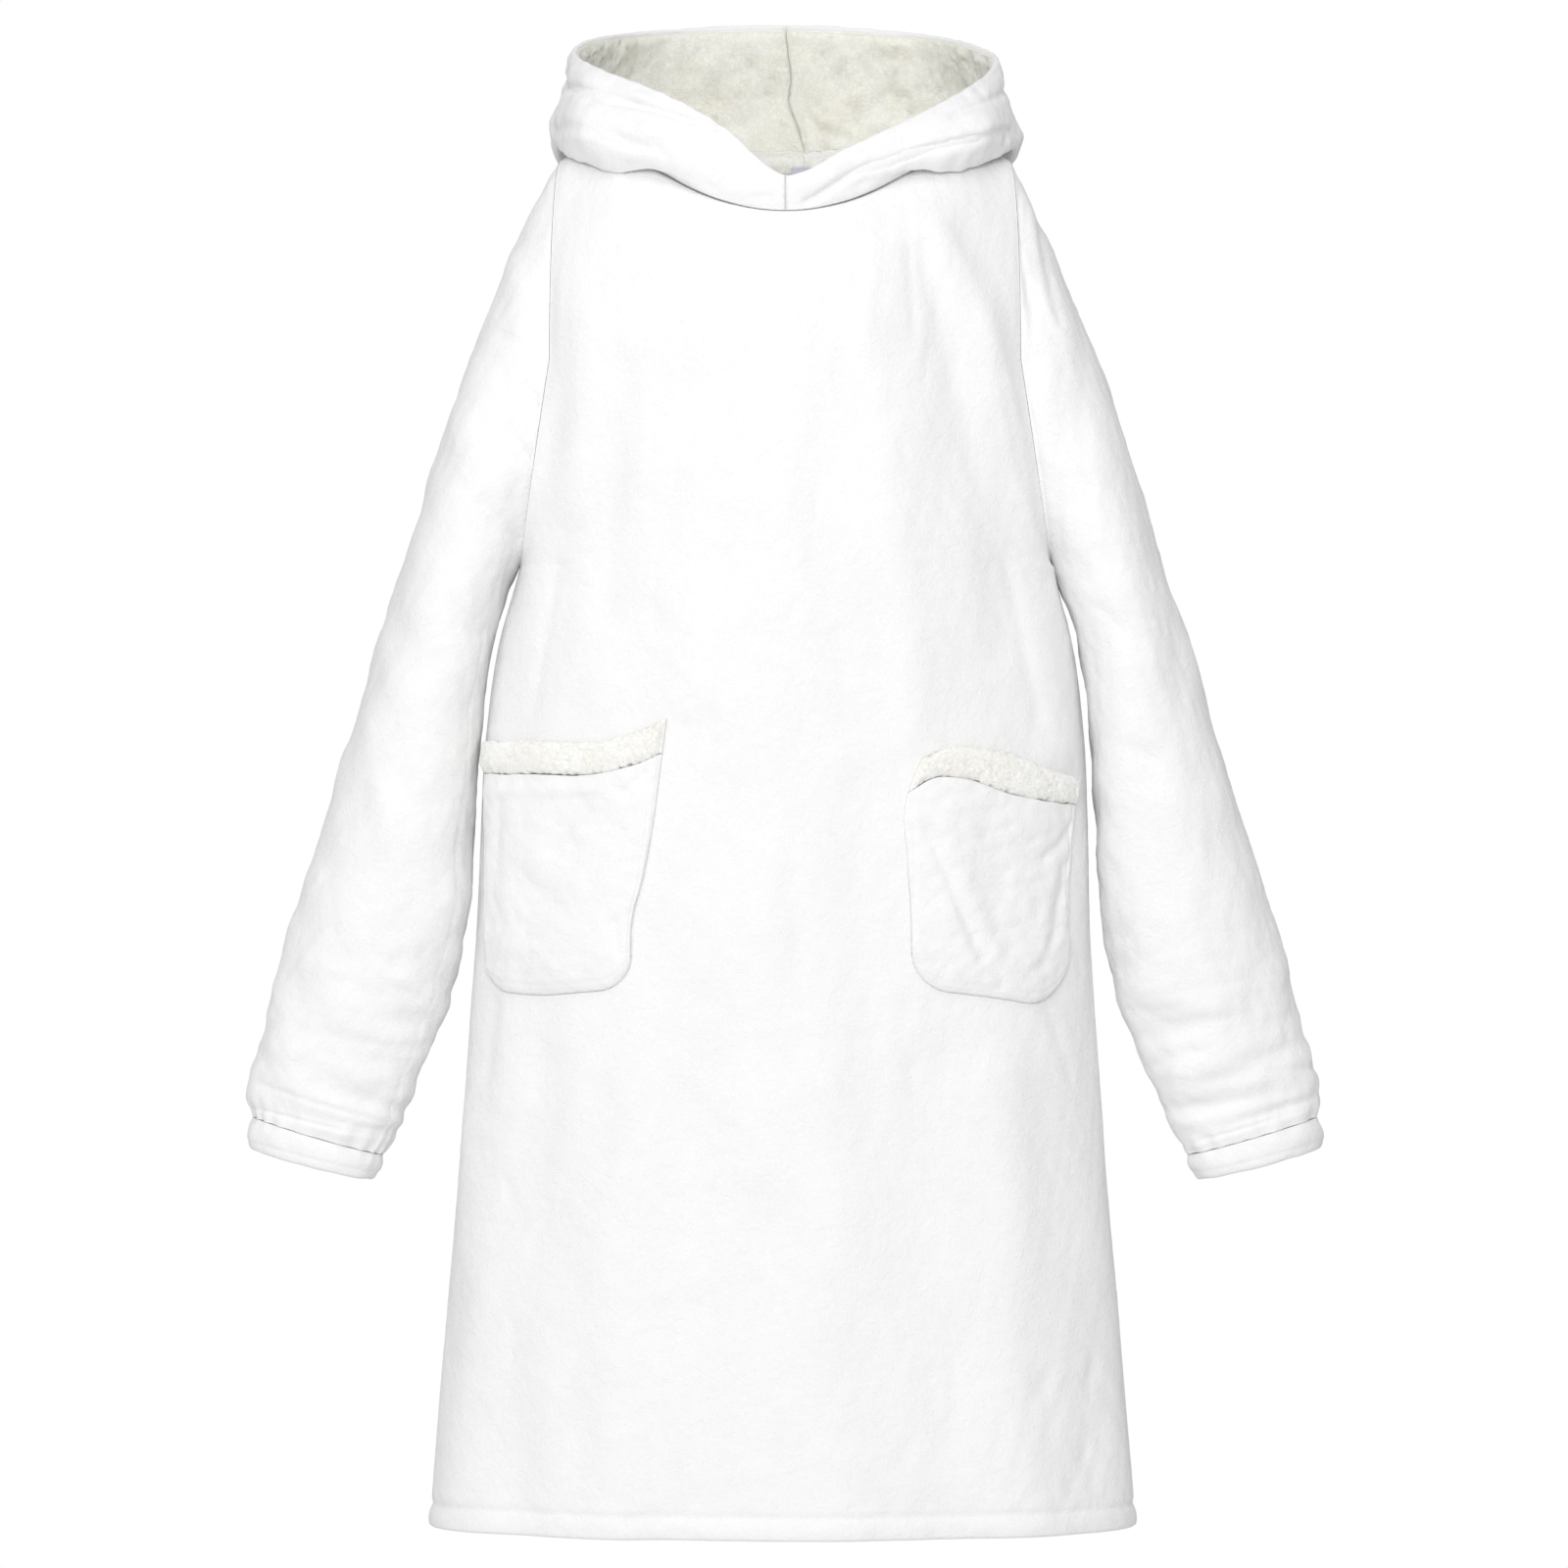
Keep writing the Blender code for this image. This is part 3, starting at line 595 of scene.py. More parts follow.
def shell(name, outer, inner, finish, closed=False, rolled=(False, False), pile=None, crisp=False):
    """A closed wall of cloth between two grids. rolled says which ends of the rows are rounded off, and
    crisp leaves the other ends flat, so that a seam there is a fine line."""
    end = edge_roll(outer[-1], inner[-1], outer[-2]) if rolled[1] else []
    start = edge_roll(inner[0], outer[0], inner[1]) if rolled[0] else []
    loop = np.array([*outer, *end, *inner[::-1], *start])
    rows, columns = loop.shape[:2]
    index = np.arange(rows * columns).reshape(rows, columns)
    below, above = index, np.roll(index, -1, axis=0)
    if closed:
        right = [np.roll(side, -1, axis=1) for side in (below, above)]
    else:
        right = [side[:, 1:] for side in (below, above)]
        below, above = below[:, :-1], above[:, :-1]
    quads = np.stack([below, right[0], right[1], above], axis=-1).reshape(-1, 4)
    faces = [tuple(face) for face in quads]
    soft = np.ones((rows, len(quads) // rows), bool)
    if crisp and not rolled[1]:
        soft[len(outer) - 1] = False
    if crisp and not rolled[0]:
        soft[-1] = False
    soft = soft.ravel().tolist()
    if not closed:
        faces += side_faces(index, len(outer), len(end), len(start))
    soft += [not crisp] * (len(faces) - len(soft))
    data = bpy.data.meshes.new(name)
    data.from_pydata((loop.reshape(-1, 3) * MM).tolist(), [], faces)
    data.materials.append(finish)
    data.polygons.foreach_set("use_smooth", soft)
    piece = bpy.data.objects.new(name, data)
    bpy.context.collection.objects.link(piece)
    # The pile attribute, from 0 between the tufts to 1 on them, sets the painted shade in the sherpa's colour.
    if pile is not None:
        ends = [pile[-1]] * len(end), [pile[0]] * len(start)
        value = np.array([*pile, *ends[0], *pile[::-1], *ends[1]])
        data.attributes.new("pile", "FLOAT", "POINT").data.foreach_set("value", value.ravel())
    outward(data)
    return piece


def side_faces(index, wall_rows, end_rows, start_rows):
    """The faces that close a wall along its first and last columns."""
    faces = []
    first_back = wall_rows + end_rows
    for column, turned in ((0, True), (index.shape[1] - 1, False)):
        line = index[:, column]
        partner = line[first_back : first_back + wall_rows][::-1]
        strips = [(line[r], line[r + 1], partner[r + 1], partner[r]) for r in range(wall_rows - 1)]
        if end_rows:
            strips.append(tuple(line[wall_rows - 1 : first_back + 1]))
        if start_rows:
            strips.append((*line[first_back + wall_rows - 1 :], line[0]))
        faces += [face[::-1] if turned else face for face in strips]
    return faces


def outward(data):
    """Turns a closed mesh's faces the right way round."""
    place = np.empty(len(data.vertices) * 3)
    data.vertices.foreach_get("co", place)
    place = place.reshape(-1, 3)
    data.calc_loop_triangles()
    corner = np.empty(len(data.loop_triangles) * 3, int)
    data.loop_triangles.foreach_get("vertices", corner)
    a, b, c = np.moveaxis(place[corner.reshape(-1, 3)], 1, 0)
    if (a * np.cross(b, c)).sum() < 0:
        data.flip_normals()


# Materials


def new_material(name, colour, roughness):
    made = bpy.data.materials.new(name)
    made.use_nodes = True
    tree = made.node_tree
    shader = tree.nodes["Principled BSDF"]
    shader.inputs["Base Color"].default_value = (*colour, 1)
    shader.inputs["Roughness"].default_value = roughness
    shader.inputs["Specular IOR Level"].default_value = 0.2
    place = tree.nodes.new("ShaderNodeTexCoord").outputs["Object"]
    return made, tree, shader, place


def noise(tree, place, scale, detail=2.0, distortion=0.0):
    """Noise with scale cells to a metre."""
    node = tree.nodes.new("ShaderNodeTexNoise")
    node.inputs["Scale"].default_value = scale
    node.inputs["Detail"].default_value = detail
    node.inputs["Distortion"].default_value = distortion
    tree.links.new(place, node.inputs["Vector"])
    return node.outputs["Fac"]


def ramp(tree, value, low, high, start=0.3, stop=0.7):
    """Colours from low to high as a value goes from start to stop."""
    node = tree.nodes.new("ShaderNodeValToRGB")
    node.color_ramp.elements[0].position = start
    node.color_ramp.elements[1].position = stop
    node.color_ramp.elements[0].color = (*low, 1)
    node.color_ramp.elements[1].color = (*high, 1)
    tree.links.new(value, node.inputs["Fac"])
    return node.outputs["Color"]


def tint(tree, one, other):
    """The product of two colours."""
    node = tree.nodes.new("ShaderNodeMix")
    node.data_type = "RGBA"
    node.blend_type = "MULTIPLY"
    node.inputs["Factor"].default_value = 1
    tree.links.new(one, node.inputs["A"])
    tree.links.new(other, node.inputs["B"])
    return node.outputs["Result"]


def bump(tree, shader, value, distance, strength, under=None):
    """Relief of a distance in metres, laid over another relief."""
    node = tree.nodes.new("ShaderNodeBump")
    node.inputs["Distance"].default_value = distance
    node.inputs["Strength"].default_value = strength
    tree.links.new(value, node.inputs["Height"])
    if under is not None:
        tree.links.new(under, node.inputs["Normal"])
    tree.links.new(node.outputs["Normal"], shader.inputs["Normal"])
    return node.outputs["Normal"]


def flannel(name, tone):
    """Short soft nap, cloudy where it is brushed, with fine fibre relief."""
    made, tree, shader, place = new_material(name, tone, 0.92)
    shader.inputs["Sheen Weight"].default_value = 0.25
    shader.inputs["Sheen Roughness"].default_value = 0.6
    dim = [0.975 * part for part in tone]
    cloudy = ramp(tree, noise(tree, place, 22, 4, 0.6), dim, tone)
    brushed = ramp(tree, noise(tree, place, 190, 3, 0.8), (0.98, 0.98, 0.98), (1, 1, 1))
    tree.links.new(tint(tree, cloudy, brushed), shader.inputs["Base Color"])
    pile = bump(tree, shader, noise(tree, place, 160, 4, 0.8), 0.0016, 0.5)
    bump(tree, shader, noise(tree, place, 900, 2), 0.0005, 0.6, pile)
    return made


def sherpa(name, painted_shade_colour, tip):
    """Curly pile, with painted shade that makes it darker and creamier between its tufts, creamier in random
    patches, and a winding net of thin lines painted as shade in the gaps between the curls.
    """
    made, tree, shader, place = new_material(name, tip, 1.0)
    shader.inputs["Sheen Weight"].default_value = 0.3
    shader.inputs["Sheen Roughness"].default_value = 0.7
    read = tree.nodes.new("ShaderNodeAttribute")
    read.attribute_name = "pile"
    # Painted shade: the colour goes darker and creamier between the tufts, where the pile attribute is low, and
    # lighter on their tips.
    painted_shade_by_depth = ramp(tree, read.outputs["Fac"], painted_shade_colour, tip, 0.15, 0.8)
    mottle = ramp(tree, noise(tree, place, 26, 3, 1.0), PATCH_SHADE, (1, 1, 1), 0.35, 0.6)
    cells = tree.nodes.new("ShaderNodeTexVoronoi")
    cells.feature = "DISTANCE_TO_EDGE"
    cells.inputs["Scale"].default_value = NET_SCALE
    swirl = tree.nodes.new("ShaderNodeVectorMath")
    swirl.operation = "MULTIPLY_ADD"
    swirl.inputs[1].default_value = (NET_WINDING,) * 3
    stir = tree.nodes.new("ShaderNodeTexNoise")
    stir.inputs["Scale"].default_value = NET_WINDING_SCALE
    tree.links.new(place, stir.inputs["Vector"])
    tree.links.new(stir.outputs["Color"], swirl.inputs[0])
    tree.links.new(place, swirl.inputs[2])
    tree.links.new(swirl.outputs["Vector"], cells.inputs["Vector"])
    # The net of thin darker lines is painted shade in the gaps between the curls.
    lines = ramp(tree, cells.outputs["Distance"], PAINTED_GAP_SHADE, (1, 1, 1), 0.0, 0.16)
    colour = tint(tree, painted_shade_by_depth, tint(tree, mottle, lines))
    tree.links.new(colour, shader.inputs["Base Color"])
    curls = bump(tree, shader, noise(tree, place, 420, 4, 2.5), 0.0015, 0.6)
    bump(tree, shader, noise(tree, place, 1500, 2, 1.0), 0.0006, 0.7, curls)
    return made


def woven_tape(name, tone):
    """The label's fine woven tape."""
    made, tree, shader, place = new_material(name, tone, 0.6)
    node = tree.nodes.new("ShaderNodeTexWave")
    node.bands_direction = "Z"
    node.inputs["Scale"].default_value = 700
    tree.links.new(place, node.inputs["Vector"])
    weave = ramp(tree, node.outputs["Fac"], [0.93 * part for part in tone], tone)
    tree.links.new(weave, shader.inputs["Base Color"])
    bump(tree, shader, node.outputs["Fac"], 0.0003, 0.5)
    return made


WHITE = (0.85, 0.85, 0.85)
# The tip colours of the sherpa and the trim, and the darker colours painted as shade between their tufts.
SHERPA_TIP = (0.97, 0.972, 0.935)
SHERPA_PAINTED_SHADE = (0.91, 0.908, 0.84)
TRIM_TIP = (0.98, 0.98, 0.975)
TRIM_PAINTED_SHADE = (0.965, 0.965, 0.955)
# The sherpa's random patches, and its net of lines, which is painted shade in the gaps between the curls: shades,
# cells to a metre, and the winding in metres.
PATCH_SHADE = (0.975, 0.965, 0.93)
PAINTED_GAP_SHADE = (0.93, 0.92, 0.88)
NET_SCALE = 210
NET_WINDING = 0.006
NET_WINDING_SCALE = 150
LABEL_WHITE = (0.8, 0.8, 0.9)
FLANNEL = flannel("flannel_white", WHITE)
SHERPA = sherpa("sherpa_cream", SHERPA_PAINTED_SHADE, SHERPA_TIP)
TRIM = sherpa("sherpa_white", TRIM_PAINTED_SHADE, TRIM_TIP)
LABEL = woven_tape("label_tape", LABEL_WHITE)


def declare(piece):
    """A piece of cloth that stands for its solid: it is put on the root, and the solid is hidden."""
    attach(piece, "root")
    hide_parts(piece.name.replace("_cloth", ""))


# The body


def arm_edge(angle):
    """The armhole's x, depth and height at an angle, -90 degrees at the underarm, 90 at the tip."""
    z = ARM_Z + ARM_HALF_HEIGHT * np.sin(angle)
    lower = curve(ARM_LOWER_EDGE, z)[..., 0]
    middle = ARM_LOWER_EDGE[-1][1]
    upper = SHOULDER_TIP[0] + (middle - SHOULDER_TIP[0]) * np.cos(angle)
    return np.where(angle < 0, lower, upper), ARM_HALF_DEPTH * np.cos(angle), z


def neckline(angle, facing):
    """A point of the neckline, from 0 degrees at the centre of the front or back to 90 at the side."""
    depth, low = NECK_FRONT if facing < 0 else NECK_BACK
    z = low + (NECK_SIDE_Z - low) * (1 - np.cos(angle) + np.sin(angle) ** 2) / 2
    return np.array([NECK_HALF_WIDTH * np.sin(angle), facing * depth * np.cos(angle), z])


def top_edge(share, facing):
    """A point of the neckline or, further out, of the shoulder seam."""
    if share <= NECK_SHARE:
        return neckline(math.pi / 2 * share / NECK_SHARE, facing)
    along = (share - NECK_SHARE) / (1 - NECK_SHARE)
    x = NECK_HALF_WIDTH + (SHOULDER_TIP[0] - NECK_HALF_WIDTH) * along
    return np.array([x, 0, NECK_SIDE_Z + (SHOULDER_TIP[1] - NECK_SIDE_Z) * along])


def section_row(z, edge_x, edge_y, facing):
    """One level row of a panel from the centre to its edge."""
    _, front, back = curve(BODY_SECTIONS, z)
    depth = front if facing < 0 else back
    last = math.acos(edge_y / depth)
    angle = SIDE_SHARES * last
    full = edge_x / math.sin(last)
    if z > FULL_WIDTHS[0][0]:
        full = curve(FULL_WIDTHS, z)[0]
    pinch = (edge_x / (full * math.sin(last)) - 1) * SIDE_SHARES**EDGE_PINCH_POWER
    x = full * np.sin(angle) * (1 + pinch)
    return np.stack([x, facing * depth * np.cos(angle), np.full_like(x, z)], axis=-1)


def half_panel(heights, facing):
    """The outer points of half a panel, hem to shoulder and centre to side."""
    rows = [section_row(z, curve(BODY_SECTIONS, z)[0], 0, facing) for z in heights]
    rows += [section_row(z, x, y, facing) for x, y, z in zip(*arm_edge(ARM_STEPS))]
    base = rows[-1]
    tops = np.array([top_edge(share, facing) for share in SIDE_SHARES])
    ends = np.radians(np.minimum(NECK_RISE_ANGLE + (90 - NECK_RISE_ANGLE) * SIDE_SHARES / NECK_SHARE, 90))
    for step in TOP_STEPS:
        angle = ends * step
        rise = (np.sin(angle) / np.sin(ends))[:, None]
        left = ((np.cos(angle) - np.cos(ends)) / (1 - np.cos(ends)))[:, None]
        row = tops + (base - tops) * left
        row[:, 2:] = base[:, 2:] + (tops - base)[:, 2:] * rise
        rows.append(row)
    return np.array(rows)


def hem_relief(z):
    roll = HEM_ROLL * np.exp(-(((z - HEM_ROLL_Z) / HEM_BAND) ** 2))
    return roll - HEM_GROOVE * np.exp(-(((z - HEM_GROOVE_Z) / HEM_GROOVE_WIDTH) ** 2))


def body_panel(name, heights, facing, large, fine, seed):
    """A whole panel. Returns its outer and inner points and its outward directions."""
    half = half_panel(heights, facing)
    points = np.concatenate([half[:, :0:-1] * (-1, 1, 1), half], axis=1)
    points[..., 1] += facing * SEAM_GAP / 2
    shares = np.concatenate([-SIDE_SHARES[:0:-1], SIDE_SHARES])
    points[..., 0] -= curve(RIGHT_EASE, points[..., 2])[..., 0] * np.maximum(shares, 0)
    points[..., 2] += HEM_ROUND * np.exp(-(((points[..., 2] - HEM_Z) / HEM_ROUND_REACH) ** 2))
    inside = (0, 0, ARM_Z)
    direction = normals(points, inside)
    level = points[..., 2] < ARM_FOOT_Z + 1
    direction[level] = unit(direction[level] * (1, 1, 0))
    to_side = np.minimum(reach(points, 1), reach_back(points, 1))
    to_top = reach_back(points, 0)
    fade = smooth((1 - np.abs(shares)) * 6)[None, :] * smooth(to_top / 45)
    x, z = points[..., 0], points[..., 2]
    height = folds(large, x, z) * fade
    near_seam = smooth(to_side / 14) * smooth(to_top / 14)
    height += (folds(fine, x, z) + waves(points * (1, 1, 0.4), seed, 70, 0.8)) * near_seam
    height += waves(points, seed + 1, 16, 0.22) * near_seam
    height += hem_relief(z)
    height -= SEAM_DIP * np.exp(-((np.minimum(to_side, to_top) / SEAM_WIDTH) ** 2))
    edge_rows = slice(len(heights), None)
    points = points + direction * height[..., None]
    direction = normals(points, inside)
    direction[0] = unit(direction[0] * (1, 1, 0))
    arm_angles = np.concatenate([ARM_STEPS, math.pi / 2 * TOP_STEPS])
    for side, sign in ((0, -1), (-1, 1)):
        outward_x = sign * np.maximum(-np.sin(arm_angles), 0) ** 2
        away = unit(np.stack([outward_x, facing * np.cos(arm_angles), np.sin(arm_angles)], axis=-1))
        edge_x, edge_y, edge_z = arm_edge(arm_angles)
        seam = np.stack([sign * (edge_x - SEAM_GAP / 2), facing * (edge_y + SEAM_GAP / 2), edge_z], axis=-1)
        points[edge_rows, side] = seam - SEAM_DIP * away
        direction[edge_rows, side] = away
        direction[: len(heights), side] = (sign, 0, 0)
    inner = points - BODY_THICK * direction
    piece = shell(name, points, inner, FLANNEL, rolled=(True, False), crisp=True)
    return piece, points, inner, direction


# The sleeves and cuffs


def sleeve_ring(section, angles):
    """A ring of points from a section's outer and inner points and half depth."""
    outer_x, outer_z, inner_x, inner_z, depth = section
    up = np.sin(angles)
    x = (outer_x + inner_x) / 2 + (outer_x - inner_x) / 2 * up
    z = (outer_z + inner_z) / 2 + (outer_z - inner_z) / 2 * up
    return np.stack([x, -depth * np.cos(angles), z], axis=-1)


def trough_depth(rows, stations, angles):
    total = np.zeros((len(stations), len(angles)))
    for station, width, depth, angle, spread, slant in rows:
        turn = (angles - math.radians(angle) + math.pi) % (2 * math.pi) - math.pi
        centre = station + slant * turn / (math.pi / 2)
        across = np.exp(-(((stations[:, None] - centre[None, :]) / width) ** 2))
        total += depth * across * np.exp(-((turn / math.radians(spread)) ** 2))[None, :]
    return total


def sleeve(side, sign, troughs, creases, seam_angle, seed):
    """A sleeve and its cuff."""
    angles, stations = SLEEVE_ANGLES, SLEEVE_STATIONS
    sections = curve(SLEEVE_SECTIONS, stations)
    points = np.array([sleeve_ring(section, angles) for section in sections])
    turned = np.where(angles > math.pi / 2, math.pi - angles, angles)
    fade = np.clip(1 - stations / ARM_BLEND_STATIONS, 0, 1)
    points[..., 0] += fade[:, None] * (arm_edge(turned)[0] - points[0, :, 0])[None, :]
    direction = tube_normals(points)
    from_seam = reach(points, 0)
    from_cuff = reach_back(points, 0)
    near_seam = smooth(from_seam / 14) * smooth(from_cuff / 10)
    front = 0.5 - 0.5 * np.tanh(points[..., 1] / 15)
    height = -TROUGH_SHARE * trough_depth(troughs, stations, angles)
    height -= SLEEVE_EASE[side] * np.maximum(np.sin(angles), 0) * smooth(from_seam / 60) * smooth(from_cuff / 90)
    height += folds(creases, points[..., 0], points[..., 2]) * front * smooth(from_seam / 5)
    height += waves(points, seed, 60, 0.9) * near_seam
    height += waves(points, seed + 1, 15, 0.25) * near_seam
    crinkled = smooth((stations - 8.5) / 2)[:, None] * near_seam
    height += waves(points * (0.6, 0.6, 1.2), seed + 2, 30, 0.45) * crinkled
    gathers = np.sin(angles * 17 + 2.2 * np.sin(angles * 3 + seed)) * 0.9
    height += gathers[None, :] * np.exp(-((from_cuff / 16) ** 2))
    away = (angles - math.radians(seam_angle) + math.pi) % (2 * math.pi) - math.pi
    half_ring = (sections[:, 0] - sections[:, 2]) / 2 + 40
    seam = np.exp(-((away[None, :] * half_ring[:, None] / 2.6) ** 2))
    height -= 0.9 * seam * smooth((stations - 2) / 3)[:, None]
    height -= SEAM_DIP * np.exp(-((np.minimum(from_seam, from_cuff) / SEAM_WIDTH) ** 2))
    points = points + direction * height[..., None]
    direction = tube_normals(points)
    away = np.stack([0 * angles, -np.cos(angles), np.sin(angles)], axis=-1)
    away[:, 0] = np.maximum(-np.sin(angles), 0) ** 2
    away = unit(away)
    edge_x, edge_y, edge_z = arm_edge(turned)
    mirrored = np.where(np.cos(angles) < 0, 1, -1)
    start = np.stack([edge_x + SEAM_GAP / 2, mirrored * edge_y, edge_z], axis=-1)
    points[0] = start - SEAM_DIP * away
    direction[0] = away
    outer_x, outer_z, inner_x, inner_z, _ = sections[-1]
    axis = unit(np.array([outer_z - inner_z, 0, inner_x - outer_x], float))
    direction[-1] = unit(direction[-1] - (direction[-1] @ axis)[:, None] * axis)
    mirror = np.array([sign, 1, 1])
    inner = points - SLEEVE_THICK * direction
    made = shell("sleeve_" + side + "_cloth", points * mirror, inner * mirror, FLANNEL, closed=True, crisp=True)
    declare(made)

    cuff = np.array([sleeve_ring(row, angles) for row in curve(CUFF_SECTIONS, CUFF_LEVELS)])
    cuff = cuff + axis * SEAM_GAP
    direction = tube_normals(cuff)
    from_sleeve = reach(cuff, 0)
    to_end = reach_back(cuff, 0)
    height = -SEAM_DIP * np.exp(-((from_sleeve / 3) ** 2))
    height += 0.5 * np.exp(-(((from_sleeve - 7) / 5) ** 2))
    height -= 0.5 * np.exp(-(((to_end - 5) / 1.6) ** 2))
    height += waves(cuff, seed + 5, 26, 0.5) * smooth(from_sleeve / 8)
    height += gathers[None, :] * 0.5 * np.exp(-((from_sleeve / 7) ** 2))
    cuff = cuff + direction * height[..., None]
    direction = tube_normals(cuff)
    direction[0] = unit(direction[0] - (direction[0] @ axis)[:, None] * axis)
    inner = cuff - CUFF_THICK * direction
    sides = cuff * mirror, inner * mirror
    made = shell("cuff_" + side + "_cloth", *sides, FLANNEL, closed=True, rolled=(False, True), crisp=True)
    declare(made)


# The hood


def mirrored_ends(level):
    """A level of the hood, run on past the centre line at both ends so that it crosses it square."""
    after, before = level[1], level[-2]
    first = (-after[0], -after[1], after[2], after[3])
    last = (360 - before[0], -before[1], before[2], before[3])
    return (first, *level, last)


def hood_points(sign, rows, angles):
    """The outer points of half the hood at rows from the seam, 0, to the rim, and at angles round it."""
    radians = np.radians(angles)
    front = neckline(radians, -1).T
    back = neckline(math.pi - radians, 1).T
    seam = np.where((angles <= 90)[:, None], front, back) + (0, 0, SEAM_GAP)
    levels = [seam] + [curve(mirrored_ends(level), angles) for level in HOOD_LEVELS]
    lean = -sign * curve(RIM_LEAN, angles)[:, 0]
    levels[-1][:, 2] += lean
    levels[-2][:, 2] += lean / 2
    keyed = [(i, *level.ravel()) for i, level in enumerate(levels)]
    return curve(keyed, rows * len(HOOD_LEVELS)).reshape(len(rows), len(angles), 3)


def hood_direction(sign, rows, angles):
    """The smooth outward directions of half the hood."""
    plain_rows = np.linspace(0, 1, HOOD_PLAIN_ROWS)
    plain_angles = np.arange(0, 180 + HOOD_PLAIN_STEP / 2, HOOD_PLAIN_STEP)
    points = hood_points(sign, plain_rows, plain_angles)
    points[:, [0, -1], 0] = SEAM_GAP / 2
    direction = normals(points, (0, 60, 40))
    for _ in range(HOOD_SMOOTHING):
        direction[1:-1] = unit(direction[:-2] + 2 * direction[1:-1] + direction[2:])
        direction[:, 1:-1] = unit(direction[:, :-2] + 2 * direction[:, 1:-1] + direction[:, 2:])
    direction[:, [0, -1]] = unit(direction[:, [0, -1]] * (0, 1, 1))
    by_row = curve([(r, *line.ravel()) for r, line in zip(plain_rows, direction)], rows)
    by_row = by_row.reshape(len(rows), len(plain_angles), 3)
    by_angle = curve([(a, *by_row[:, i].ravel()) for i, a in enumerate(plain_angles)], angles)
    return unit(np.moveaxis(by_angle.reshape(len(angles), len(rows), 3), 0, 1))


def hood(side, sign, rows_of_folds, seed):
    """Half of the hood's outside and half of its lining."""
    mirror = np.array([sign, 1, 1])
    rows = np.concatenate([np.linspace(0, 0.05, 8)[:-1], np.linspace(0.05, 1, HOOD_ROWS)])
    angles = np.linspace(0, 180, HOOD_COLUMNS)
    points = hood_points(sign, rows, angles)
    points[:, [0, -1], 0] = SEAM_GAP / 2
    direction = hood_direction(sign, rows, angles)
    below_rim = reach_back(points, 0)
    points -= RIM_ROUND * np.exp(-((below_rim / RIM_ROUND_REACH) ** 2))[..., None] * unit(points[-1] - points[-2])
    above_seam = reach(points, 0)
    to_back = reach_back(points, 1)
    to_front = reach(points, 1)
    steps = [(a0 * DEGREE_LENGTH, d0, a1 * DEGREE_LENGTH, d1, w, h) for a0, d0, a1, d1, w, h in rows_of_folds]
    around = np.broadcast_to(angles * DEGREE_LENGTH, below_rim.shape)
    room = smooth(above_seam / 12) * smooth(to_back / 10)
    height = folds(steps, around, below_rim) * smooth(to_front / 10) * smooth(above_seam / 8)
    height += waves(points, seed, 55, 0.9) * room * smooth(to_front / 12) * smooth(below_rim / 8)
    height += waves(points, seed + 1, 15, 0.3) * room * smooth(to_front / 12)
    height += RIM_PUFF * np.exp(-(((below_rim - 9) / 8) ** 2)) * smooth(to_front / 12)
    height -= SEAM_DIP * np.exp(-((above_seam / SEAM_WIDTH) ** 2))
    height -= 0.8 * np.exp(-((to_back / 4) ** 2))
    outer = points + direction * height[..., None]
    extra = RIM_EXTRA * np.exp(-((below_rim / RIM_EXTRA_REACH) ** 4)) * smooth(to_front / 14)
    inner = points - (HOOD_THICK + extra)[..., None] * direction
    sides = outer * mirror, inner * mirror
    made = shell("hood_" + side + "_cloth", *sides, FLANNEL, rolled=(False, True), crisp=True)
    declare(made)

    rows = np.linspace(0, 1 - RIM_SHORT / len(HOOD_LEVELS), LINING_ROWS)
    angles = np.linspace(0, 180, LINING_COLUMNS)
    points = hood_points(sign, rows, angles)
    direction = hood_direction(sign, rows, angles)
    outwards = unit(points[0] * (1, 1, 0))
    drop = np.linspace(1, 0, LINING_STRIP_ROWS)[:-1, None, None]
    grown = smooth((angles - LINING_HANG_FROM) / LINING_HANG_SPAN)[:, None]
    amount = LINING_HANG_FRONT + (1 - LINING_HANG_FRONT) * grown
    strip = points[0] + (outwards * (-LINING_INSET, -LINING_INSET, 0) - (0, 0, LINING_HANG)) * amount * drop
    strip_direction = unit(outwards * drop + direction[0] * (1 - drop))
    points = np.concatenate([strip, points])
    direction = np.concatenate([strip_direction, direction])
    points[:, [0, -1], 0] = SEAM_GAP / 2
    direction[:, [0, -1], 0] = 0
    base = points - (HOOD_THICK + LINING_GAP) * direction
    below_rim = reach_back(points, 0)
    above_seam = reach(points, 0)
    to_edge = np.minimum(above_seam, below_rim)
    to_back = reach_back(points, 1)
    to_front = reach(points, 1)
    room = smooth(to_edge / 6) * smooth(to_back / 4) * smooth(to_front / 20)
    tuft = tufts(base, TUFT_PITCH, seed + 9)
    # The pile values also paint shade into the sherpa's colour: darker between the tufts, and towards the
    # lining's edges and middle lines where room is small.
    pile = np.clip(tuft * (0.5 + 0.5 * room), 0, 1)
    thick = LINING_THICK - 1.6 * (1 - room) + TUFT_HEIGHT * (tuft - 0.35) * (0.3 + 0.7 * room)
    thick += waves(base, seed + 4, 30, 0.8) * room
    thick += folds(LINING_FOLDS, sign * base[..., 0], base[..., 2]) * smooth(base[..., 1] / 40) * room
    thick -= 1.6 * np.exp(-((to_back / 5) ** 2))
    shown = base - np.maximum(thick, 1.2)[..., None] * direction
    shown[:, [0, -1], 0] = SEAM_GAP / 2
    for side_of_wall in (base, shown):
        aside = curve(PARTING, side_of_wall[..., 2])[..., 0] * smooth(side_of_wall[..., 1] / 60)
        side_of_wall[..., 0] += sign * aside * np.exp(-((to_back / PARTING_REACH) ** 2))
    made = shell("hood_lining_" + side + "_cloth", base * mirror, shown * mirror, SHERPA, pile=pile)
    declare(made)


# The pockets


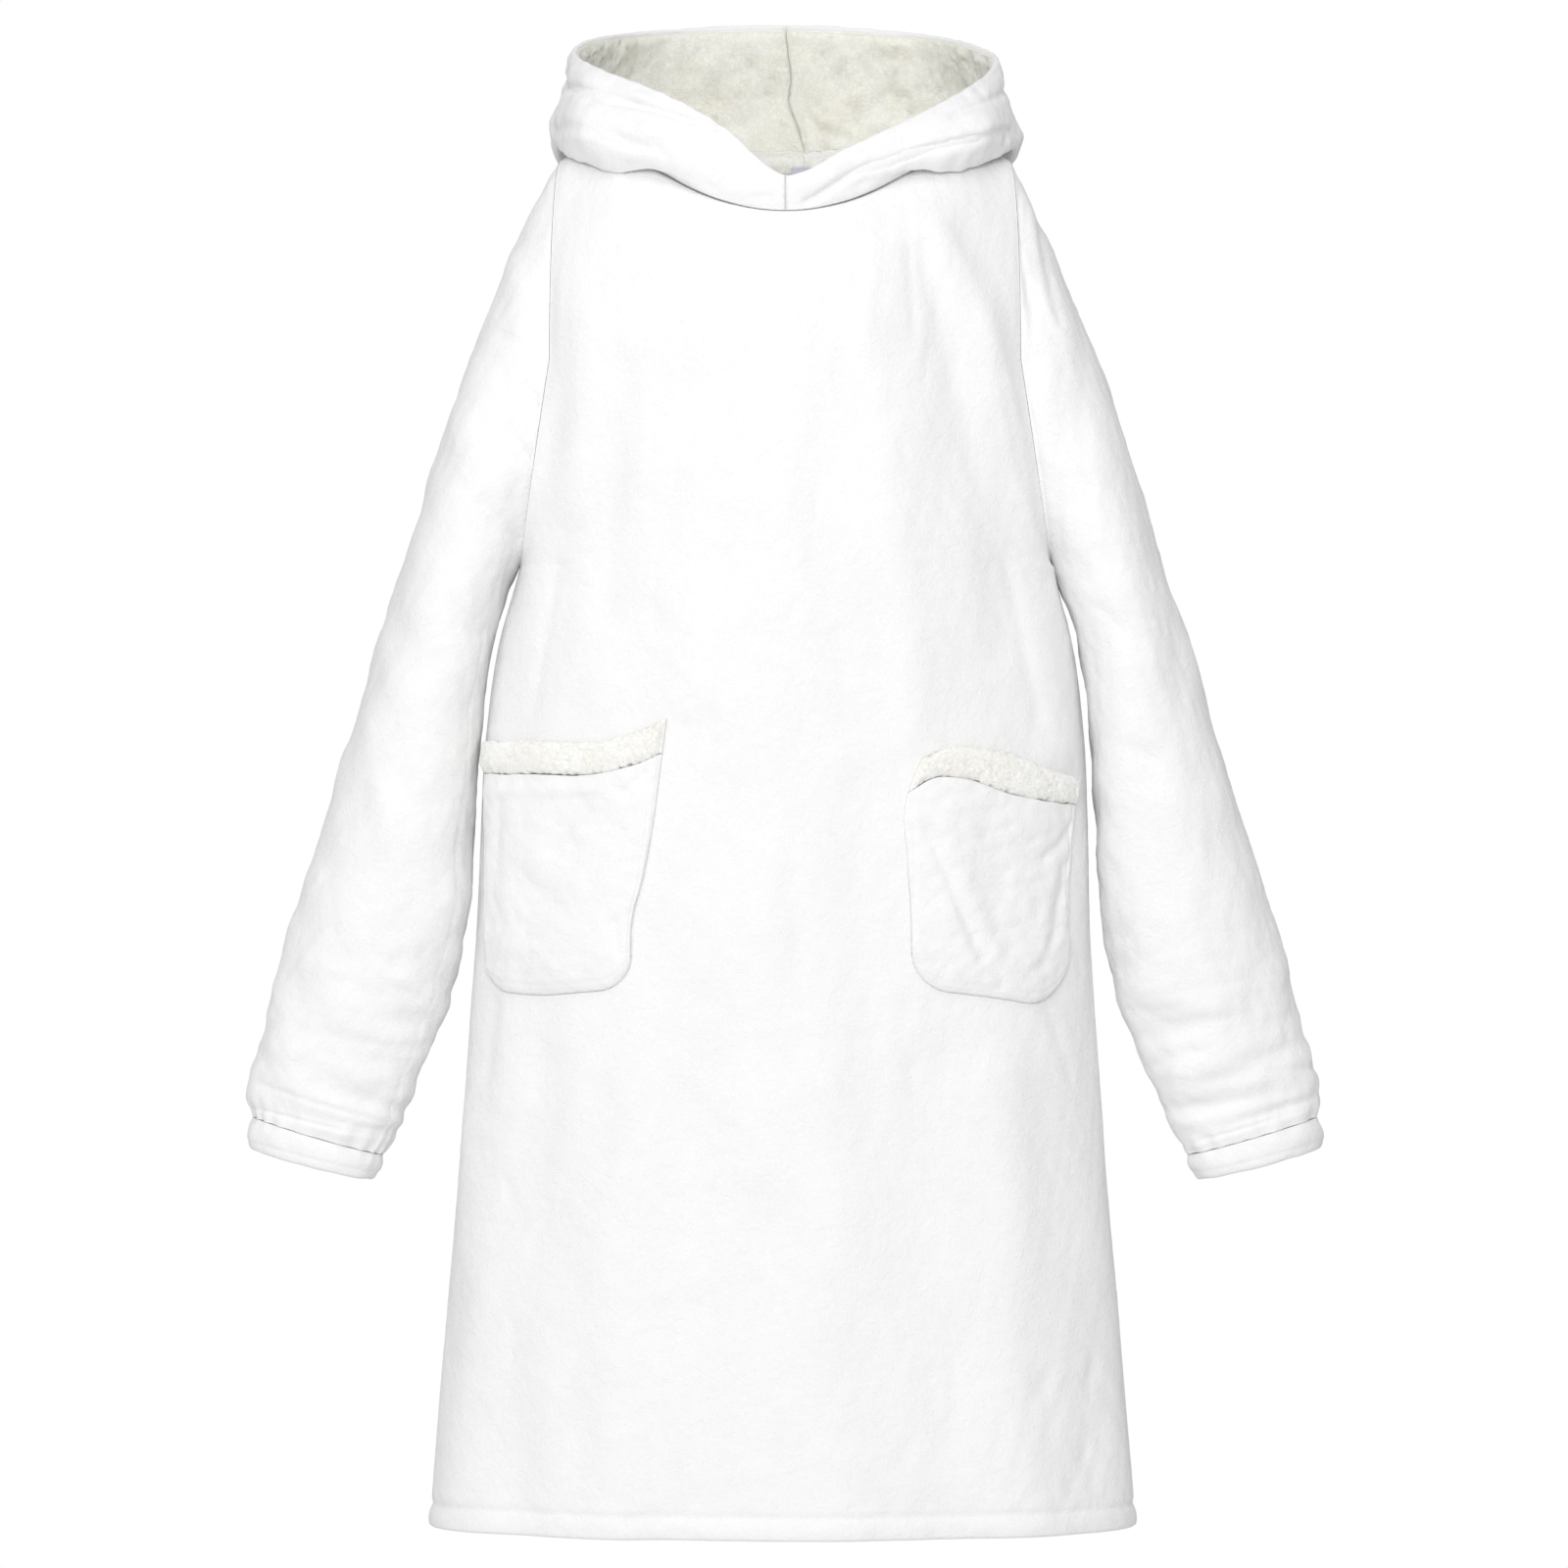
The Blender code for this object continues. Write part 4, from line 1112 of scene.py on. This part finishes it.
def on_front(points, direction, x, z):
    """The places on the front panel at x and z, and their outward directions."""
    places, outwards = [], []
    lines = points[: len(FRONT_HEIGHTS)]
    for one_x, one_z in zip(x.ravel(), z.ravel()):
        row = np.interp(one_z, FRONT_HEIGHTS, np.arange(len(FRONT_HEIGHTS)))
        low = int(min(row, len(FRONT_HEIGHTS) - 2))
        share = row - low
        line = lines[low] * (1 - share) + lines[low + 1] * share
        facing = direction[low] * (1 - share) + direction[low + 1] * share
        places.append([one_x, np.interp(one_x, line[:, 0], line[:, 1]), one_z])
        outwards.append([np.interp(one_x, line[:, 0], facing[:, k]) for k in range(3)])
    return np.array(places).reshape(*x.shape, 3), unit(np.array(outwards)).reshape(*x.shape, 3)


def pocket_grid(side, sign, low, high, gap, shape):
    """The x and z of a grid between two lines of a pocket's table of heights."""
    even = np.linspace(0, math.pi, shape[1])
    up, across = np.meshgrid(np.linspace(0, 1, shape[0]), (1 - np.cos(even)) / 2, indexing="ij")
    heights = curve(POCKET_HEIGHTS[side], across)
    if low == 0:
        _, inner_x, outer_x = POCKET_SIDES[side][0]
        for radius, away in zip(POCKET_CORNERS[side], (across, 1 - across)):
            left = radius - np.minimum(away * (outer_x - inner_x), radius)
            heights[..., 0] += radius - np.sqrt(radius**2 - left**2)
    z = heights[..., low] + (heights[..., high] - gap - heights[..., low]) * up
    edges = curve(POCKET_SIDES[side], z)
    x = edges[..., 0] + (edges[..., 1] - edges[..., 0]) * across
    return sign * x, z


def pocket(side, sign, points, direction, seed):
    """A patch pocket and the fluffy trim along its opening, laid on the front panel."""
    x, z = pocket_grid(side, sign, 0, 1, TRIM_GAP, POCKET_GRID)
    under, facing = on_front(points, direction, x, z)
    under = under + POCKET_GAP * facing
    to_side = np.minimum(reach(under, 1), reach_back(under, 1))
    to_edge = np.minimum(to_side, reach(under, 0))
    height = POCKET_THICK - POCKET_EDGE_DIP * np.exp(-((to_edge / 4) ** 2))
    height += POCKET_BULGE * smooth(to_edge / 40)
    height -= POCKET_STITCH_DEPTH * np.exp(-(((to_edge - POCKET_STITCH_INSET) / 1.8) ** 2))
    inset = smooth(to_edge / 10)
    height += (folds(POCKET_FOLDS[side], x, z) + waves(under, seed, 44, 0.5)) * inset
    height += waves(under, seed + 1, 16, 0.16) * smooth(to_edge / 5)
    outer = under + height[..., None] * facing
    made = shell("pocket_" + side + "_cloth", outer, under, FLANNEL)
    declare(made)

    x, z = pocket_grid(side, sign, 1, 2, 0, TRIM_GRID)
    under, facing = on_front(points, direction, x, z)
    under = under + POCKET_GAP * facing
    to_side = np.minimum(reach(under, 1), reach_back(under, 1))
    to_long = np.minimum(reach(under, 0), reach_back(under, 0))
    round_off = np.sqrt(np.clip(1 - (1 - np.clip(to_long / 9, 0, 1)) ** 2, 0, 1)) * smooth(to_side / 6)
    tuft = tufts(under, TRIM_TUFT_PITCH, seed + 3)
    height = 2.0 + (TRIM_THICK - 3) * round_off + TRIM_TUFT_HEIGHT * (tuft - 0.4) * (0.3 + 0.7 * round_off)
    outer = under + height[..., None] * facing
    stray = (tuft - 0.5) * 2.4 * np.where(np.arange(TRIM_GRID[0]) * 2 < TRIM_GRID[0], -1, 1)[:, None]
    outer[..., 2] += stray * np.exp(-((to_long / 3) ** 2))
    # The tuft values go into the pile attribute, which paints shade into the trim's colour between the tufts.
    made = shell("pocket_trim_" + side + "_cloth", outer, under, TRIM, pile=np.clip(tuft, 0, 1))
    declare(made)


# The label


def neck_label(inner, direction):
    """A blank label that hangs inside the back of the neck, from the neckline down."""
    middle = inner.shape[1] // 2
    top = inner[-1, middle, 2]
    x, z = np.meshgrid(np.linspace(*LABEL_X, 14), np.linspace(top - LABEL_HANG[1], top - LABEL_HANG[0], 20))
    rows = inner[len(BACK_HEIGHTS) :]
    facings = direction[len(BACK_HEIGHTS) :]
    back = np.zeros((*x.shape, 3))
    facing = np.zeros_like(back)
    for i, j in np.ndindex(*x.shape):
        at_x, along = (
            np.array([[np.interp(x[i, j], row[:, 0], f[:, k]) for k in range(3)] for row, f in zip(rows, values)])
            for values in (rows, facings)
        )
        back[i, j] = (x[i, j], np.interp(z[i, j], at_x[:, 2], at_x[:, 1]), z[i, j])
        facing[i, j] = [np.interp(z[i, j], at_x[:, 2], along[:, k]) for k in range(3)]
    back = back - POCKET_GAP * unit(facing)
    lift = LABEL_LIFT + LABEL_TILT * smooth((top - z) / LABEL_HANG[1])
    back = back - lift[..., None] * unit(facing)
    made = shell("neck_label_cloth", back, back - LABEL_THICK * unit(facing), LABEL)
    declare(made)


def build():
    front_rows = FRONT_CREASES + tuple(crushed(FRONT_CRUSHED))
    back_rows = BACK_CREASES + tuple(crushed(BACK_CRUSHED))
    made, front, _, front_direction = body_panel(
        "body_front_cloth", FRONT_HEIGHTS, -1, FRONT_FOLDS, front_rows, 21
    )
    declare(made)
    made, _, back_inner, back_direction = body_panel(
        "body_back_cloth", BACK_HEIGHTS, 1, BACK_FOLDS, back_rows, 31
    )
    declare(made)
    sleeve("left", -1, LEFT_TROUGHS, LEFT_SLEEVE_CREASES, -56, 41)
    sleeve("right", 1, RIGHT_TROUGHS, RIGHT_SLEEVE_CREASES, -96, 51)
    hood("left", -1, LEFT_HOOD_FOLDS, 61)
    hood("right", 1, RIGHT_HOOD_FOLDS, 71)
    pocket("left", -1, front, front_direction, 81)
    pocket("right", 1, front, front_direction, 91)
    neck_label(back_inner, back_direction)


# The studio

CAMERA_DISTANCE = 5.0
FRAME_WIDTH = 1.232
CAMERA_X = -0.0008
CAMERA_Z = -0.470
SENSOR = 36.0
FLOOR_Z = -1.40
FLOOR_SIZE = 4.6
BACKGROUND_STRENGTH = 1.0
AMBIENT_STRENGTH = 0.5
# The lights: place, power and diameter.
LIGHTS = {
    "key": ((-3.0, -3.7, 0.6), 22.0, 1.8),
    "fill": ((-0.2, -4.8, 0.9), 118.0, 2.4),
    "top": ((0.0, -1.6, 2.4), 17.0, 1.6),
}


def camera():
    data = bpy.data.cameras.new("camera")
    data.sensor_width = SENSOR
    data.lens = SENSOR * CAMERA_DISTANCE / FRAME_WIDTH
    made = bpy.data.objects.new("camera", data)
    made.location = (CAMERA_X, -CAMERA_DISTANCE, CAMERA_Z)
    made.rotation_euler = (math.pi / 2, 0, 0)
    bpy.context.collection.objects.link(made)
    bpy.context.scene.camera = made


def soft_light(name, place, power, size):
    """A large round light aimed at the garment's middle."""
    data = bpy.data.lights.new(name, "AREA")
    data.shape = "DISK"
    data.size = size
    data.energy = power
    made = bpy.data.objects.new(name, data)
    made.location = place
    aim = np.array([0, 0, CAMERA_Z]) - np.array(place)
    made.rotation_euler = (math.acos(-aim[2] / np.linalg.norm(aim)), 0, math.atan2(-aim[0], aim[1]))
    bpy.context.collection.objects.link(made)


def backdrop():
    """An even white surround, a little brighter to the eye than the light that it gives."""
    world = bpy.data.worlds.new("studio")
    world.use_nodes = True
    tree = world.node_tree
    sky = tree.nodes["Background"]
    sky.inputs["Color"].default_value = (1, 1, 1, 1)
    path = tree.nodes.new("ShaderNodeLightPath")
    level = tree.nodes.new("ShaderNodeMapRange")
    level.inputs["To Min"].default_value = AMBIENT_STRENGTH
    level.inputs["To Max"].default_value = BACKGROUND_STRENGTH
    tree.links.new(path.outputs["Is Camera Ray"], level.inputs["Value"])
    tree.links.new(level.outputs["Result"], sky.inputs["Strength"])
    bpy.context.scene.world = world
    bpy.context.scene.view_settings.view_transform = "Standard"


def floor():
    half = FLOOR_SIZE / 2
    data = bpy.data.meshes.new("floor")
    corners = [(-half, -half, FLOOR_Z), (half, -half, FLOOR_Z), (half, half, FLOOR_Z), (-half, half, FLOOR_Z)]
    data.from_pydata(corners, [], [(0, 1, 2, 3)])
    made, tree, shader, place = new_material("pale_floor", (0.9, 0.9, 0.9), 0.8)
    speckle = ramp(tree, noise(tree, place, 8, 3), (0.89, 0.89, 0.885), (0.91, 0.91, 0.905))
    tree.links.new(speckle, shader.inputs["Base Color"])
    data.materials.append(made)
    plane = bpy.data.objects.new("floor", data)
    bpy.context.collection.objects.link(plane)


camera()
backdrop()
for light, (place, power, size) in LIGHTS.items():
    soft_light(light, place, power, size)
floor()
build()
